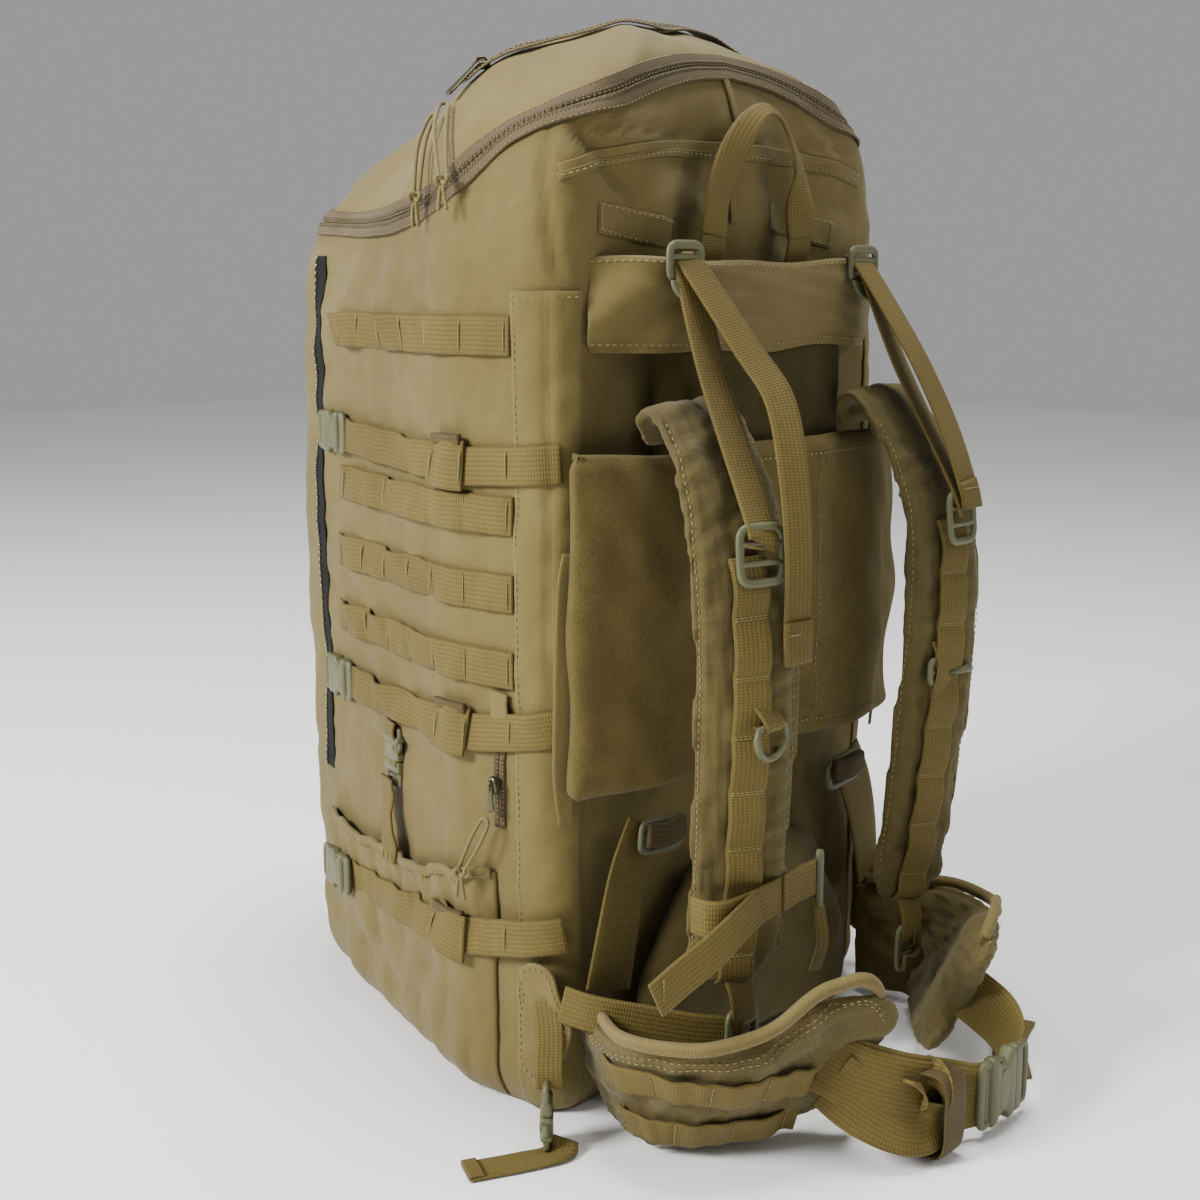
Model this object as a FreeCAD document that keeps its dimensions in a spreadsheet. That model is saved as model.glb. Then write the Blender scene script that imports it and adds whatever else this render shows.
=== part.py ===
import FreeCAD, Part
import Sketcher
import math
import os

# A large framed hunting backpack. Millimetres, +Z up. The origin is on the floor under the middle of
# the bag's base; -Y is the harness side, which faces the wearer's back, and +Y is the bag's front.

os.makedirs("parts", exist_ok=True)
doc = FreeCAD.newDocument("hunting_backpack")
V = FreeCAD.Vector

# ------------------------------------------------------------------ driving dimensions
SIZES = [
    # bag
    ("half_side", 183, "half width of the bag, widest"),
    ("half_back", 180, "half width at the back face"),
    ("half_front", 105, "half width at the front face"),
    ("back_y", 118, "back face to origin"),
    ("side_y", 34, "widest line to origin"),
    ("front_y", 245, "front face to origin"),
    ("round_r", 30, "rounding of the bag's upright corners"),
    ("wall", 4, "fabric and foam wall"),
    ("rim_front", 612, "height of the zip rim at the front"),
    ("rim_back", 704, "height of the zip rim at the back"),
    ("crest", 742, "height of the lid's crest"),
    ("lid_gap", 1, "gap between rim and lid"),
    ("lid_drop", 22, "rim below the lid's arch"),
    ("skin", 0.3, "clearance under a sewn-on piece"),
    ("web_thick", 2.2, "webbing thickness"),
    ("web", 25.4, "webbing width"),
    ("pitch", 50.8, "pitch of the webbing rows"),
    ("row_low", 311, "centre of the lowest side row"),
    ("row_back", 82, "back end of the rows, behind the origin"),
    ("row_front", 115, "front end of the rows"),
    ("bind_top", 555, "top of the side binding panel"),
    ("pocket_top", 172, "hem of the side pocket"),
    ("pocket_gap", 7, "room inside the side pocket"),
    ("buckle_y", 140, "start of the side buckles"),
    # harness
    ("band_low", 518, "lower edge of the top band"),
    ("band_high", 575, "upper edge of the top band"),
    ("pad_half", 108, "half width of the back pad"),
    ("pad_out", 25, "thickness of the back pad"),
    ("band_over", 7, "outer face of the top band off the back pad"),
    ("sleeve_low", 232, "lower edge of the suede sleeve"),
    ("sleeve_high", 455, "upper edge of the suede sleeve"),
    ("sleeve_half", 176, "half width of the suede sleeve"),
    ("sleeve_thick", 15, "thickness of the suede sleeve"),
    ("strap_x", 118, "shoulder strap centre"),
    ("strap_wide", 76, "shoulder strap width"),
    ("strap_thick", 13, "shoulder strap thickness"),
    ("lumbar_high", 172, "top of the lumbar pad"),
    ("lumbar_half", 130, "half width of the lumbar pad"),
    ("lumbar_out", 32, "thickness of the lumbar pad"),
    ("belt_high", 100, "height of the hip belt"),
    ("belt_thick", 16, "thickness of the hip belt"),
    ("handle_half", 50, "half span of the grab handle"),
    ("handle_rise", 86, "height of the grab handle"),
]
sheet = doc.addObject("Spreadsheet::Sheet", "dim")
for row, (alias, value, meaning) in enumerate(SIZES, start=1):
    sheet.set(f"A{row}", str(value))
    sheet.setAlias(f"A{row}", alias)
    sheet.set(f"B{row}", meaning)
doc.recompute()

PLANES = {
    "XY": FreeCAD.Rotation(0, 0, 0),
    "XZ": FreeCAD.Rotation(V(1, 0, 0), 90),
    "YZ": FreeCAD.Rotation(V(1, 1, 1), 120),
}
NORMALS = {"XY": V(0, 0, 1), "XZ": V(0, 1, 0), "YZ": V(1, 0, 0)}
HEIGHTS = {"XY": "z", "XZ": "y", "YZ": "x"}
# cutting slabs reach past the whole model, or only through its harness side
ALL_WIDTH = ("-400", "400")
HARNESS_SIDE = ("-400", "-100")
pieces = {}


def number(text):
    """The value of an expression in the sheet's names."""
    return float(sheet_reader.evalExpression(str(text)))


sheet_reader = doc.addObject("App::FeaturePython", "reader")


def draw(plane, points, low="0", closed=True):
    """A fully constrained outline of straight runs on one of the origin planes."""
    sketch = doc.addObject("Sketcher::SketchObject", "outline")
    sketch.Placement = FreeCAD.Placement(V(), PLANES[plane])
    sketch.setExpression("Placement.Base." + HEIGHTS[plane], str(low))
    places = [V(number(u), number(w), 0) for u, w in points]
    ends = places[1:] + places[:1] if closed else places[1:]
    for start, end in zip(places, ends):
        sketch.addGeometry(Part.LineSegment(start, end), False)
    count = len(ends)
    joints = count if closed else count - 1
    for line in range(joints):
        sketch.addConstraint(Sketcher.Constraint("Coincident", line, 2, (line + 1) % count, 1))
    for line, (u, w) in enumerate(points):
        corner = (line, 1) if line < count else (line - 1, 2)
        for kind, text in (("DistanceX", u), ("DistanceY", w)):
            rule = Sketcher.Constraint(kind, -1, 1, corner[0], corner[1], number(text))
            index = sketch.addConstraint(rule)
            sketch.setExpression(f"Constraints[{index}]", str(text))
    return sketch


def extrude(profile, plane, depth):
    """A closed profile pushed along its plane's axis."""
    solid = doc.addObject("Part::Extrusion", "extrusion")
    solid.Base = profile
    solid.DirMode = "Custom"
    solid.Dir = NORMALS[plane]
    solid.Solid = True
    solid.setExpression("LengthFwd", str(depth))
    return solid


def slab(plane, points, low, high):
    """A flat piece: an outline between two heights along its plane's axis."""
    return extrude(draw(plane, points, low), plane, f"({high}) - ({low})")


def ribbon(plane, path, thick, low, high):
    """A bent strip of constant thickness: the side that the sign of thick chooses is filled."""
    band = doc.addObject("Part::Offset2D", "band")
    band.Source = draw(plane, path, low, closed=False)
    band.Mode = "Skin"
    band.Join = "Intersection"
    band.Fill = True
    band.setExpression("Value", str(thick))
    return extrude(band, plane, f"({high}) - ({low})")


def box(x, y, z):
    """A box between named limits, each a pair of expressions."""
    solid = doc.addObject("Part::Box", "block")
    for name, axis, (low, high) in (("Length", "x", x), ("Width", "y", y), ("Height", "z", z)):
        solid.setExpression(name, f"({high}) - ({low})")
        solid.setExpression("Placement.Base." + axis, str(low))
    return solid


def cut(base, tool):
    result = doc.addObject("Part::Cut", "cut")
    result.Base = base
    result.Tool = tool
    return result


def common(base, tool):
    result = doc.addObject("Part::Common", "common")
    result.Base = base
    result.Tool = tool
    return result


def fuse(solids):
    result = doc.addObject("Part::MultiFuse", "fusion")
    result.Shapes = solids
    return result


def keep(name, solids):
    """Names a finished sub-part; several separate solids share a node as a group."""
    if len(solids) == 1:
        piece = solids[0]
    else:
        piece = doc.addObject("Part::Compound", "group")
        piece.Links = solids
    piece.Label = name
    pieces[name] = piece
    return piece


def mirrored(points):
    return [(f"-({u})", w) for u, w in points]


# ------------------------------------------------------------------ bag body and lid
# The plan is a rounded hexagon: a core drawn one corner radius inside it, grown with round corners.
core_half_side = "(dim.half_side - dim.round_r)"
core_half_back = "(dim.half_back - dim.round_r)"
core_half_front = "(dim.half_front - dim.round_r)"
plan = [
    (f"-{core_half_back}", "-(dim.back_y - dim.round_r)"),
    (core_half_back, "-(dim.back_y - dim.round_r)"),
    (core_half_side, "-dim.side_y"),
    (core_half_front, "dim.front_y - dim.round_r"),
    (f"-{core_half_front}", "dim.front_y - dim.round_r"),
    (f"-{core_half_side}", "-dim.side_y"),
]
core = draw("XY", plan)
# the side runs inward to the front at this angle to the Y axis
side_slant = f"atan(({core_half_side} - {core_half_front}) / (dim.front_y - dim.round_r + dim.side_y))"
REACH = "(dim.crest + 60)"


def prism(grow, low="0", high=REACH):
    """The bag's plan grown by an amount, between two heights."""
    loop = doc.addObject("Part::Offset2D", "loop")
    loop.Source = core
    loop.Mode = "Pipe"
    loop.Join = "Arc"
    loop.Fill = False
    loop.setExpression("Value", f"dim.round_r + ({grow})")
    solid = extrude(loop, "XY", f"({high}) - ({low})")
    solid.setExpression("Placement.Base.z", str(low))
    return solid


def below_rim(shift):
    """All space under the zip rim, shifted up: an S in side view and an arch in front view."""
    side = [
        ("-dim.back_y - 80", "-40"),
        ("dim.front_y + 80", "-40"),
        ("dim.front_y + 80", f"dim.rim_front + {shift}"),
        ("-dim.side_y + 24", f"dim.rim_front + {shift}"),
        ("-dim.back_y + 48", f"dim.rim_front + 0.6*(dim.rim_back - dim.rim_front) + {shift}"),
        ("-dim.back_y + 23", f"dim.rim_back + {shift}"),
        ("-dim.back_y - 80", f"dim.rim_back + {shift}"),
    ]
    return common(slab("YZ", side, *ALL_WIDTH), arch(f"{shift} - dim.lid_drop", 80))


def arch(shift, wide):
    """All space under the lid's arch, seen from the front."""
    half = [
        (f"dim.half_side + {wide}", "-40"),
        (f"dim.half_side + {wide}", f"dim.crest - 130 + {shift}"),
        ("dim.half_side", f"dim.crest - 130 + {shift}"),
        ("0.94*dim.half_side", f"dim.crest - 100 + {shift}"),
        ("0.82*dim.half_side", f"dim.crest - 77 + {shift}"),
        ("0.6*dim.half_side", f"dim.crest - 45 + {shift}"),
        ("0.44*dim.half_side", f"dim.crest - 30 + {shift}"),
        ("0.25*dim.half_side", f"dim.crest - 14 + {shift}"),
        ("0.08*dim.half_side", f"dim.crest - 2 + {shift}"),
    ]
    return slab("XZ", half + mirrored(half)[::-1], "-dim.back_y - 80", "dim.front_y + 80")


def dome(grow):
    """The lid's full shape, grown by an amount, with everything under it."""
    side = [
        ("-dim.back_y - 40", "-40"),
        ("dim.front_y + 40", "-40"),
        ("dim.front_y + 40", f"dim.rim_front + 3 + {grow}"),
        ("dim.front_y - 2", f"dim.rim_front + 3 + {grow}"),
        ("dim.front_y - 65", f"dim.crest - 82 + {grow}"),
        ("dim.front_y - 125", f"dim.crest - 42 + {grow}"),
        ("dim.front_y - 185", f"dim.crest - 9 + {grow}"),
        ("10", f"dim.crest + {grow}"),
        ("-dim.back_y + 68", f"dim.crest - 4 + {grow}"),
        ("-dim.back_y + 23", f"dim.crest - 12 + {grow}"),
        ("-dim.back_y - 5", f"dim.crest - 26 + {grow}"),
        ("-dim.back_y - 40", f"dim.crest - 26 + {grow}"),
    ]
    profile = common(slab("YZ", side, *ALL_WIDTH), arch(grow, 40))
    return common(prism(grow), profile)


bag_hull = cut(prism("0"), prism("-dim.wall", "dim.wall"))
keep("bag_shell", [common(bag_hull, below_rim("0"))])
lid_hull = cut(dome("0"), dome("-dim.wall"))
keep("lid_shell", [cut(lid_hull, below_rim("dim.lid_gap"))])

# zip along the rim, on the bag side
tape_band = cut(prism("dim.skin + 1.7"), prism("dim.skin"))
keep("main_zip", [cut(common(tape_band, below_rim("0")), below_rim("-12"))])

# zip of the lid pocket, over the top from side to side
strip = [("-0.72*dim.half_side", "-2"), ("0.8*dim.half_side", "-62"),
         ("0.8*dim.half_side", "-40"), ("-0.72*dim.half_side", "20")]
lid_band = cut(dome("dim.skin + 1.7"), dome("dim.skin"))
keep("lid_zip", [common(lid_band, slab("XY", strip, "dim.rim_front + 20", REACH))])

# ------------------------------------------------------------------ frame inside the back
inner_back = "(-dim.back_y + dim.wall)"
keep("frame_sheet", [box(("-dim.half_back + 48", "dim.half_back - 48"),
                         (f"{inner_back} + dim.skin", f"{inner_back} + dim.skin + 2"),
                         ("dim.wall + 6", "dim.band_high - 20"))])
stays = []
for side in (-1, 1):
    stays.append(box((f"{side}*60 - 8", f"{side}*60 + 8"),
                     (f"{inner_back} + 2*dim.skin + 2", f"{inner_back} + 2*dim.skin + 5"),
                     ("dim.wall + 10", "dim.band_high - 30")))
keep("frame_stays", stays)


# ------------------------------------------------------------------ pieces sewn round the sides
def band(inner, outer):
    """A skin round the whole bag between two distances off its wall."""
    return cut(prism(outer), prism(inner))


def side_region(side, points):
    """Everything on one side of the bag inside an outline of the side view."""
    limits = ("-400", "-1") if side < 0 else ("1", "400")
    return slab("YZ", points, *limits)


def rectangle(low_u, high_u, low_w, high_w):
    return [(low_u, low_w), (high_u, low_w), (high_u, high_w), (low_u, high_w)]


bindings = []
for side in (-1, 1):
    panel = rectangle("-dim.back_y + 6", "-dim.row_back - 0.5", "5", "dim.bind_top")
    bindings.append(common(band("dim.skin", "dim.skin + 1.2"), side_region(side, panel)))
keep("side_bindings", bindings)

row_heights = ["dim.row_low", "dim.row_low + dim.pitch", "dim.row_low + 2*dim.pitch",
               "dim.row_low + 4.25*dim.pitch"]
rows = []
for side in (-1, 1):
    for height in row_heights:
        row = rectangle("-dim.row_back", "dim.row_front", f"{height} - dim.web/2",
                        f"{height} + dim.web/2")
        rows.append(common(band("dim.skin", "dim.skin + dim.web_thick"), side_region(side, row)))
keep("pals_rows", rows)

# front zips, upright near the front edges
zips = []
for side in (-1, 1):
    line = rectangle("dim.front_y - 70", "dim.front_y - 54", "dim.pocket_top + 4", "dim.rim_front - 30")
    zips.append(common(band("dim.skin", "dim.skin + 1.7"), side_region(side, line)))

# side zip beside the binding panel, between the lower and the middle strap
line = rectangle("-dim.row_back + 7", "-dim.row_back + 21", "dim.pocket_top + 4",
                 "dim.row_low - 16")
zips.append(common(band("dim.skin", "dim.skin + 1.7"), side_region(-1, line)))
keep("body_zips", zips)

# side pockets: an outer wall with closed ends and bottom, open at the hem
pocket_in = "(dim.skin + dim.pocket_gap)"
pocket_out = "(dim.skin + dim.pocket_gap + 2)"
pockets = []
for side in (-1, 1):
    outside = rectangle("-dim.row_back + 14", "dim.front_y - 58", "3", "dim.pocket_top")
    inside = rectangle("-dim.row_back + 18", "dim.front_y - 62", "6", "dim.pocket_top + 20")
    room = common(band("-1", pocket_in), side_region(side, inside))
    pockets.append(cut(common(band("dim.skin", pocket_out), side_region(side, outside)), room))
keep("side_pocket_left", [pockets[0]])
keep("side_pocket_right", [pockets[1]])

# compression straps: back end, keeper and buckle heights of the three levels, and their way off
# the wall; the left straps end in buckles, the right ones run on across the front
LEVELS = [
    ("upper", "dim.row_low + 137", "dim.row_low + 131", "dim.row_low + 139", "dim.skin + 2.4"),
    ("middle", "dim.row_low - 34", "dim.row_low - 49", "dim.row_low - 51", "dim.skin + 2.4"),
    ("lower", "dim.pocket_top - 34", "dim.pocket_top - 54", "dim.pocket_top - 68",
     f"{pocket_out} + 0.4"),
]
half = "dim.web/2"
left_straps = []
right_straps = []
keepers = []
for _, back_z, keeper_z, front_z, inner in LEVELS:
    strap_band = band(inner, f"{inner} + dim.web_thick")
    left_path = [
        ("-dim.back_y + 6", f"{back_z} - {half}"), ("-25", f"{keeper_z} - {half}"),
        ("dim.buckle_y + 26", f"{front_z} - {half}"), ("dim.buckle_y + 26", f"{front_z} + {half}"),
        ("-25", f"{keeper_z} + {half}"), ("-dim.back_y + 6", f"{back_z} + {half}"),
    ]
    right_path = [
        ("-dim.back_y + 6", f"{back_z} - {half}"), ("-25", f"{keeper_z} - {half}"),
        ("dim.buckle_y + 26", f"{front_z} - {half}"), ("dim.front_y + 20", f"{front_z} - {half}"),
        ("dim.front_y + 20", f"{front_z} + {half}"),
        ("dim.buckle_y + 26", f"{front_z} + {half}"), ("-25", f"{keeper_z} + {half}"),
        ("-dim.back_y + 6", f"{back_z} + {half}"),
    ]
    left_straps.append(common(strap_band, side_region(-1, left_path)))
    across = slab("YZ", rectangle("dim.buckle_y + 30", "dim.front_y + 20",
                                  f"{front_z} - {half}", f"{front_z} + {half}"), "-400", "1")
    right_side = common(strap_band, side_region(1, right_path))
    right_straps.append(fuse([right_side, common(strap_band, across)]))
    keeper_in = f"{inner} + dim.web_thick + dim.skin"
    for side in (-1, 1):
        loop = rectangle("-41", "-9", f"{keeper_z} - {half} - 4.3", f"{keeper_z} + {half} + 4.3")
        keepers.append(common(band(keeper_in, f"{keeper_in} + 2.5"), side_region(side, loop)))
keep("compression_straps_left", left_straps)
keep("compression_straps_right", right_straps)
keep("strap_keepers", keepers)


# ------------------------------------------------------------------ side-release buckles
def stand(item, place, along, outward):
    """Puts a finished solid at a place: its X runs along one direction, its Y faces another."""
    for axis, text in zip("xyz", place):
        item.setExpression("Placement.Base." + axis, str(text))
    item.Placement.Rotation = FreeCAD.Rotation(along, outward, along.cross(outward), "XYZ")
    return item


def socket_solid(length, width, thick):
    """The hollow half of a buckle: along X from 0, thickness along Y, width centred on Z."""
    body = box(("0", length), ("0", thick), (f"-({width})/2", f"({width})/2"))
    hollow = box(("4", f"{length} + 1"), ("2", f"{thick} - 2"),
                 (f"-({width})/2 + 2.5", f"({width})/2 - 2.5"))
    return cut(body, hollow)


def plug_solid(length, width, thick):
    """The pronged half of a buckle: its body starts where the socket ends, the prongs go inside."""
    body = box((f"{length} + 0.3", f"{length} + 20"), ("0.5", f"{thick} - 0.5"),
               (f"-({width})/2 + 1", f"({width})/2 - 1"))
    prongs = []
    for side in (-1, 1):
        middle = f"{side}*(({width})/2 - 6)"
        prongs.append(box(("8", f"{length} + 2"), ("2.4", f"{thick} - 2.4"),
                          (f"{middle} - 2.5", f"{middle} + 2.5")))
    slot = box((f"{length} + 12", f"{length} + 16"), ("-1", f"{thick} + 1"),
               (f"-({width})/2 + 4", f"({width})/2 - 4"))
    return cut(fuse([body] + prongs), slot)


def buckle(place, along, outward, length, width, thick):
    """Both halves of one buckle at a place."""
    halves = (socket_solid(length, width, thick), plug_solid(length, width, thick))
    return [stand(half, place, along, outward) for half in halves]


def left_wall(y, off):
    """A point of the bag's left side at a distance along Y, this far off its wall."""
    core_x = f"({core_half_side} - ({y} + dim.side_y)*tan({side_slant}))"
    reach = f"(dim.round_r + {off})"
    return f"-{core_x} - cos({side_slant})*{reach}", f"{y} + sin({side_slant})*{reach}"


slant = math.radians(number(side_slant))
FORWARD = {-1: V(math.sin(slant), math.cos(slant), 0)}
OUTWARD = {-1: V(-math.cos(slant), math.sin(slant), 0), 1: V(math.cos(slant), math.sin(slant), 0)}
UP = V(0, 0, 1)

sockets = []
for level, _, _, front_z, inner in LEVELS:
    x, y = left_wall("(dim.buckle_y - 12)", f"({inner} + dim.web_thick + 0.4)")
    socket, plug = buckle((x, y, front_z), FORWARD[-1], OUTWARD[-1], "30", "dim.web + 6.6", "10")
    sockets.append(socket)
    keep(f"{level}_plug", [plug])
keep("compression_sockets", sockets)

# pocket straps: webbing from the pocket's inside up to a buckle that hangs under the middle strap
pocket_straps = []
pocket_sockets = []
for side, word in ((-1, "left"), (1, "right")):
    strap = rectangle("52", "72", "dim.pocket_top + 3", "dim.row_low - 66")
    strap_skin = band("dim.skin", "dim.skin + 2")
    pocket_straps.append(common(strap_skin, side_region(side, strap)))
    x, y = left_wall("(54)", "(dim.skin + 2.6)")
    if side > 0:
        x = f"-({x})"
    socket, plug = buckle((x, y, "dim.row_low - 68"), UP * -1, OUTWARD[side], "24", "24", "9")
    pocket_sockets.append(socket)
    keep(f"pocket_plug_{word}", [plug])
keep("pocket_straps", pocket_straps)
keep("pocket_sockets", pocket_sockets)

# ------------------------------------------------------------------ back panel and harness
back = "(-dim.back_y - 0.5)"
keep("back_pad", [box(("-dim.pad_half", "dim.pad_half"), (f"{back} - dim.pad_out", back),
                      ("dim.sleeve_low - 20", "dim.band_high - 25"))])

band_y = f"({back} - dim.pad_out - dim.band_over)"
band_path = [("-dim.half_back + 30", f"{back} - 2.8"), ("-dim.half_back + 72", band_y),
             ("dim.half_back - 72", band_y), ("dim.half_back - 30", f"{back} - 2.8")]
keep("top_band", [ribbon("XY", band_path, "-3", "dim.band_low", "dim.band_high")])

pad_face = f"({back} - dim.pad_out - 0.5)"
sleeve_plan = [
    ("-dim.sleeve_half", "-dim.back_y - 10"), ("-dim.pad_half - 1", pad_face),
    ("dim.pad_half + 1", pad_face), ("dim.sleeve_half", "-dim.back_y - 10"),
    ("dim.sleeve_half", "-dim.back_y - 21"), ("dim.pad_half - 6", f"{pad_face} - dim.sleeve_thick"),
    ("-dim.pad_half + 6", f"{pad_face} - dim.sleeve_thick"), ("-dim.sleeve_half", "-dim.back_y - 21"),
]
keep("yoke_sleeve", [slab("XY", sleeve_plan, "dim.sleeve_low", "dim.sleeve_high")])

lumbar = [
    ("-0.54*dim.lumbar_half", "dim.lumbar_high"), ("-0.8*dim.lumbar_half", "0.7*dim.lumbar_high"),
    ("-dim.lumbar_half", "0.5*dim.lumbar_high"), ("-dim.lumbar_half", "2"),
    ("dim.lumbar_half", "2"), ("dim.lumbar_half", "0.5*dim.lumbar_high"),
    ("0.8*dim.lumbar_half", "0.7*dim.lumbar_high"), ("0.54*dim.lumbar_half", "dim.lumbar_high"),
]
keep("lumbar_pad", [slab("XZ", lumbar, f"{back} - dim.lumbar_out", back)])

# shoulder straps: the side view bends over the sleeve's top edge and hangs down in front of it
SLEEVE_FACE = f"({pad_face} - dim.sleeve_thick)"
strap_side = [
    (f"{pad_face} - 1", "dim.sleeve_high + 3"), (f"{pad_face} - 3", "dim.sleeve_high + 28"),
    (f"{SLEEVE_FACE} - 1", "dim.sleeve_high + 37"), (f"{SLEEVE_FACE} - 20", "dim.sleeve_high + 26"),
    (f"{SLEEVE_FACE} - 47", "dim.sleeve_high - 16"), (f"{SLEEVE_FACE} - 63", "dim.sleeve_high - 60"),
    (f"{SLEEVE_FACE} - 69", "dim.sleeve_high - 115"), (f"{SLEEVE_FACE} - 67", "dim.sleeve_high - 180"),
    (f"{SLEEVE_FACE} - 61", "200"), (f"{SLEEVE_FACE} - 53", "140"), (f"{SLEEVE_FACE} - 48", "106"),
]


def strap_front(side, half, taper):
    """The strap's outline in front view, a number of millimetres either side of its bent middle."""
    middle = [("10", "dim.sleeve_high + 60"), ("-2", "dim.sleeve_high + 10"),
              ("-4", "dim.sleeve_high - 60"), ("3", "dim.sleeve_high - 150"), ("10", "200"),
              ("14", "130"), ("18", "60")]
    outer = []
    inner = []
    for step, (shift, height) in enumerate(middle):
        width = f"({half} - {taper}*{max(0, step - 3)})"
        outer.append((f"{side}*(dim.strap_x - {shift} + {width})", height))
        inner.append((f"{side}*(dim.strap_x - {shift} - {width})", height))
    return outer + inner[::-1]


for side, word in ((-1, "left"), (1, "right")):
    pad = ribbon("YZ", strap_side, "-dim.strap_thick", *ALL_WIDTH)
    keep(f"shoulder_pad_{word}", [
        common(pad, slab("XZ", strap_front(side, "dim.strap_wide/2", "5"), *HARNESS_SIDE))])
    web_line = [(f"{y} - 0.4", z) for y, z in strap_side[5:]]
    daisy = ribbon("YZ", web_line, "dim.web_thick", *ALL_WIDTH)
    keep(f"shoulder_webbing_{word}", [
        common(daisy, slab("XZ", strap_front(side, "dim.web/2", "0"), *HARNESS_SIDE))])


# ------------------------------------------------------------------ ladder locks and load lifters
def ring_frame(place, width, height, thick, along, outward):
    """A ladder lock: a flat rounded frame with a bar across, width along X, height along Z."""
    plate = box((f"-({width})/2", f"({width})/2"), ("0", thick), (f"-({height})/2", f"({height})/2"))
    holes = []
    for side in (-1, 1):
        middle = f"{side}*({height})/4"
        holes.append(box((f"-({width})/2 + 3.5", f"({width})/2 - 3.5"), ("-1", f"{thick} + 1"),
                         (f"{middle} - ({height})/4 + 4.5", f"{middle} + ({height})/4 - 3")))
    return stand(cut(cut(plate, holes[0]), holes[1]), place, along, outward)


LOCK_WIDE = "dim.web + 8.6"
LOCK_HIGH = "38"
LOCK_THICK = "4"
LIFTER_Z = "(dim.band_high - 3)"
LIFTER_Y = f"({band_y} - 7)"
lock_y = f"({SLEEVE_FACE} - 67)"
LOCK_Z = "(dim.sleeve_high - 58)"
buckles = []
locks = []
for side, word in ((-1, "left"), (1, "right")):
    buckles.append(ring_frame((f"{side}*0.83*dim.strap_x", f"{LIFTER_Y} + 6.7", LIFTER_Z),
                              "dim.web + 10.6", "26", LOCK_THICK, V(1, 0, 0), V(0, -1, 0)))
    locks.append(ring_frame((f"{side}*(dim.strap_x - 2)", f"{lock_y} - 3.5", LOCK_Z),
                            LOCK_WIDE, LOCK_HIGH, LOCK_THICK, V(1, 0, 0), V(0, -1, 0)))
    taut = slab("YZ", [(f"{LIFTER_Y} - 1", LIFTER_Z), (f"{lock_y} - 1", f"{LOCK_Z} + 6"),
                       (f"{lock_y} + 1.2", f"{LOCK_Z} + 6"), (f"{LIFTER_Y} + 1.2", LIFTER_Z)],
                *ALL_WIDTH)
    tail_low = "-20" if side < 0 else "36"
    tail = ribbon("YZ", [(f"{LIFTER_Y} - 3.6", LIFTER_Z),
                         (f"{LIFTER_Y} - 66", "0.35*dim.band_high + 0.65*dim.sleeve_high"),
                         (f"{lock_y} - 14", f"{LOCK_Z} + {tail_low}")],
                  "dim.web_thick", *ALL_WIDTH)
    route = []
    for half in (1, -1):
        ends = [(f"{side}*(0.83*dim.strap_x + {half}*dim.web/2)", "dim.band_high + 10"),
                (f"{side}*(dim.strap_x - 2 + {half}*dim.web/2)", "dim.sleeve_high - 90")]
        route += ends if half > 0 else ends[::-1]
    keep(f"load_lifter_{word}", [common(taut, slab("XZ", route, *HARNESS_SIDE)),
                                 common(tail, slab("XZ", route, *HARNESS_SIDE))])
keep("lifter_buckles", buckles)
keep("shoulder_ladder_locks", locks)

# D-ring on the left strap and the toggle of the chest strap on the right one
ring_z = "(dim.sleeve_high - 169)"
ring_y = f"({SLEEVE_FACE} - 76)"


def disc(radius, thick, place):
    """A round plate whose axis is along Y."""
    solid = doc.addObject("Part::Cylinder", "disc")
    solid.setExpression("Radius", radius)
    solid.setExpression("Height", thick)
    solid.Placement.Rotation = FreeCAD.Rotation(V(1, 0, 0), 90)
    for axis, text in zip("xyz", place):
        solid.setExpression("Placement.Base." + axis, text)
    return solid


ring_x = "(-dim.strap_x + 10)"
hoop = cut(disc("17", "4", (ring_x, ring_y, f"{ring_z} - 4")),
           disc("12.5", "6", (ring_x, f"{ring_y} + 1", f"{ring_z} - 4")))
above = box((f"{ring_x} - 20", f"{ring_x} + 20"), (f"{ring_y} - 10", f"{ring_y} + 10"),
            (f"{ring_z} + 2", f"{ring_z} + 30"))
bar = box((f"{ring_x} - 16", f"{ring_x} + 16"), (f"{ring_y} - 4", ring_y),
          (f"{ring_z} + 1", f"{ring_z} + 5"))
keep("d_ring", [fuse([cut(hoop, above), bar])])

sternum_z = "(dim.sleeve_low - 72)"
sternum_y = f"({SLEEVE_FACE} - 65)"
wrap = box(("-dim.strap_x - 32", "-dim.strap_x + 75.7"), (f"{sternum_y} - 2", sternum_y),
           (f"{sternum_z} - 12.5", f"{sternum_z} + 12.5"))
loose = slab("XZ", [("-dim.strap_x - 32.5", f"{sternum_z} - 12.5"),
                    ("-dim.strap_x - 32.5", f"{sternum_z} + 12.5"),
                    ("-dim.strap_x - 78", f"{sternum_z} - 12"),
                    ("-dim.strap_x - 84", f"{sternum_z} - 36")],
             f"{sternum_y} - 2", sternum_y)
keep("sternum_webbing", [wrap, loose])
bar_left = box(("-dim.strap_x + 76", "-dim.strap_x + 82"), (f"{sternum_y} - 3.5", f"{sternum_y} + 1.5"),
               (f"{sternum_z} - 18", f"{sternum_z} + 18"))
toggle = box(("dim.strap_x - 26", "dim.strap_x + 6"), (f"{ring_y} - 3", f"{ring_y} + 4"),
             (f"{ring_z} - 5", f"{ring_z} + 5"))
keep("sternum_hardware", [bar_left, toggle])

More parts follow.
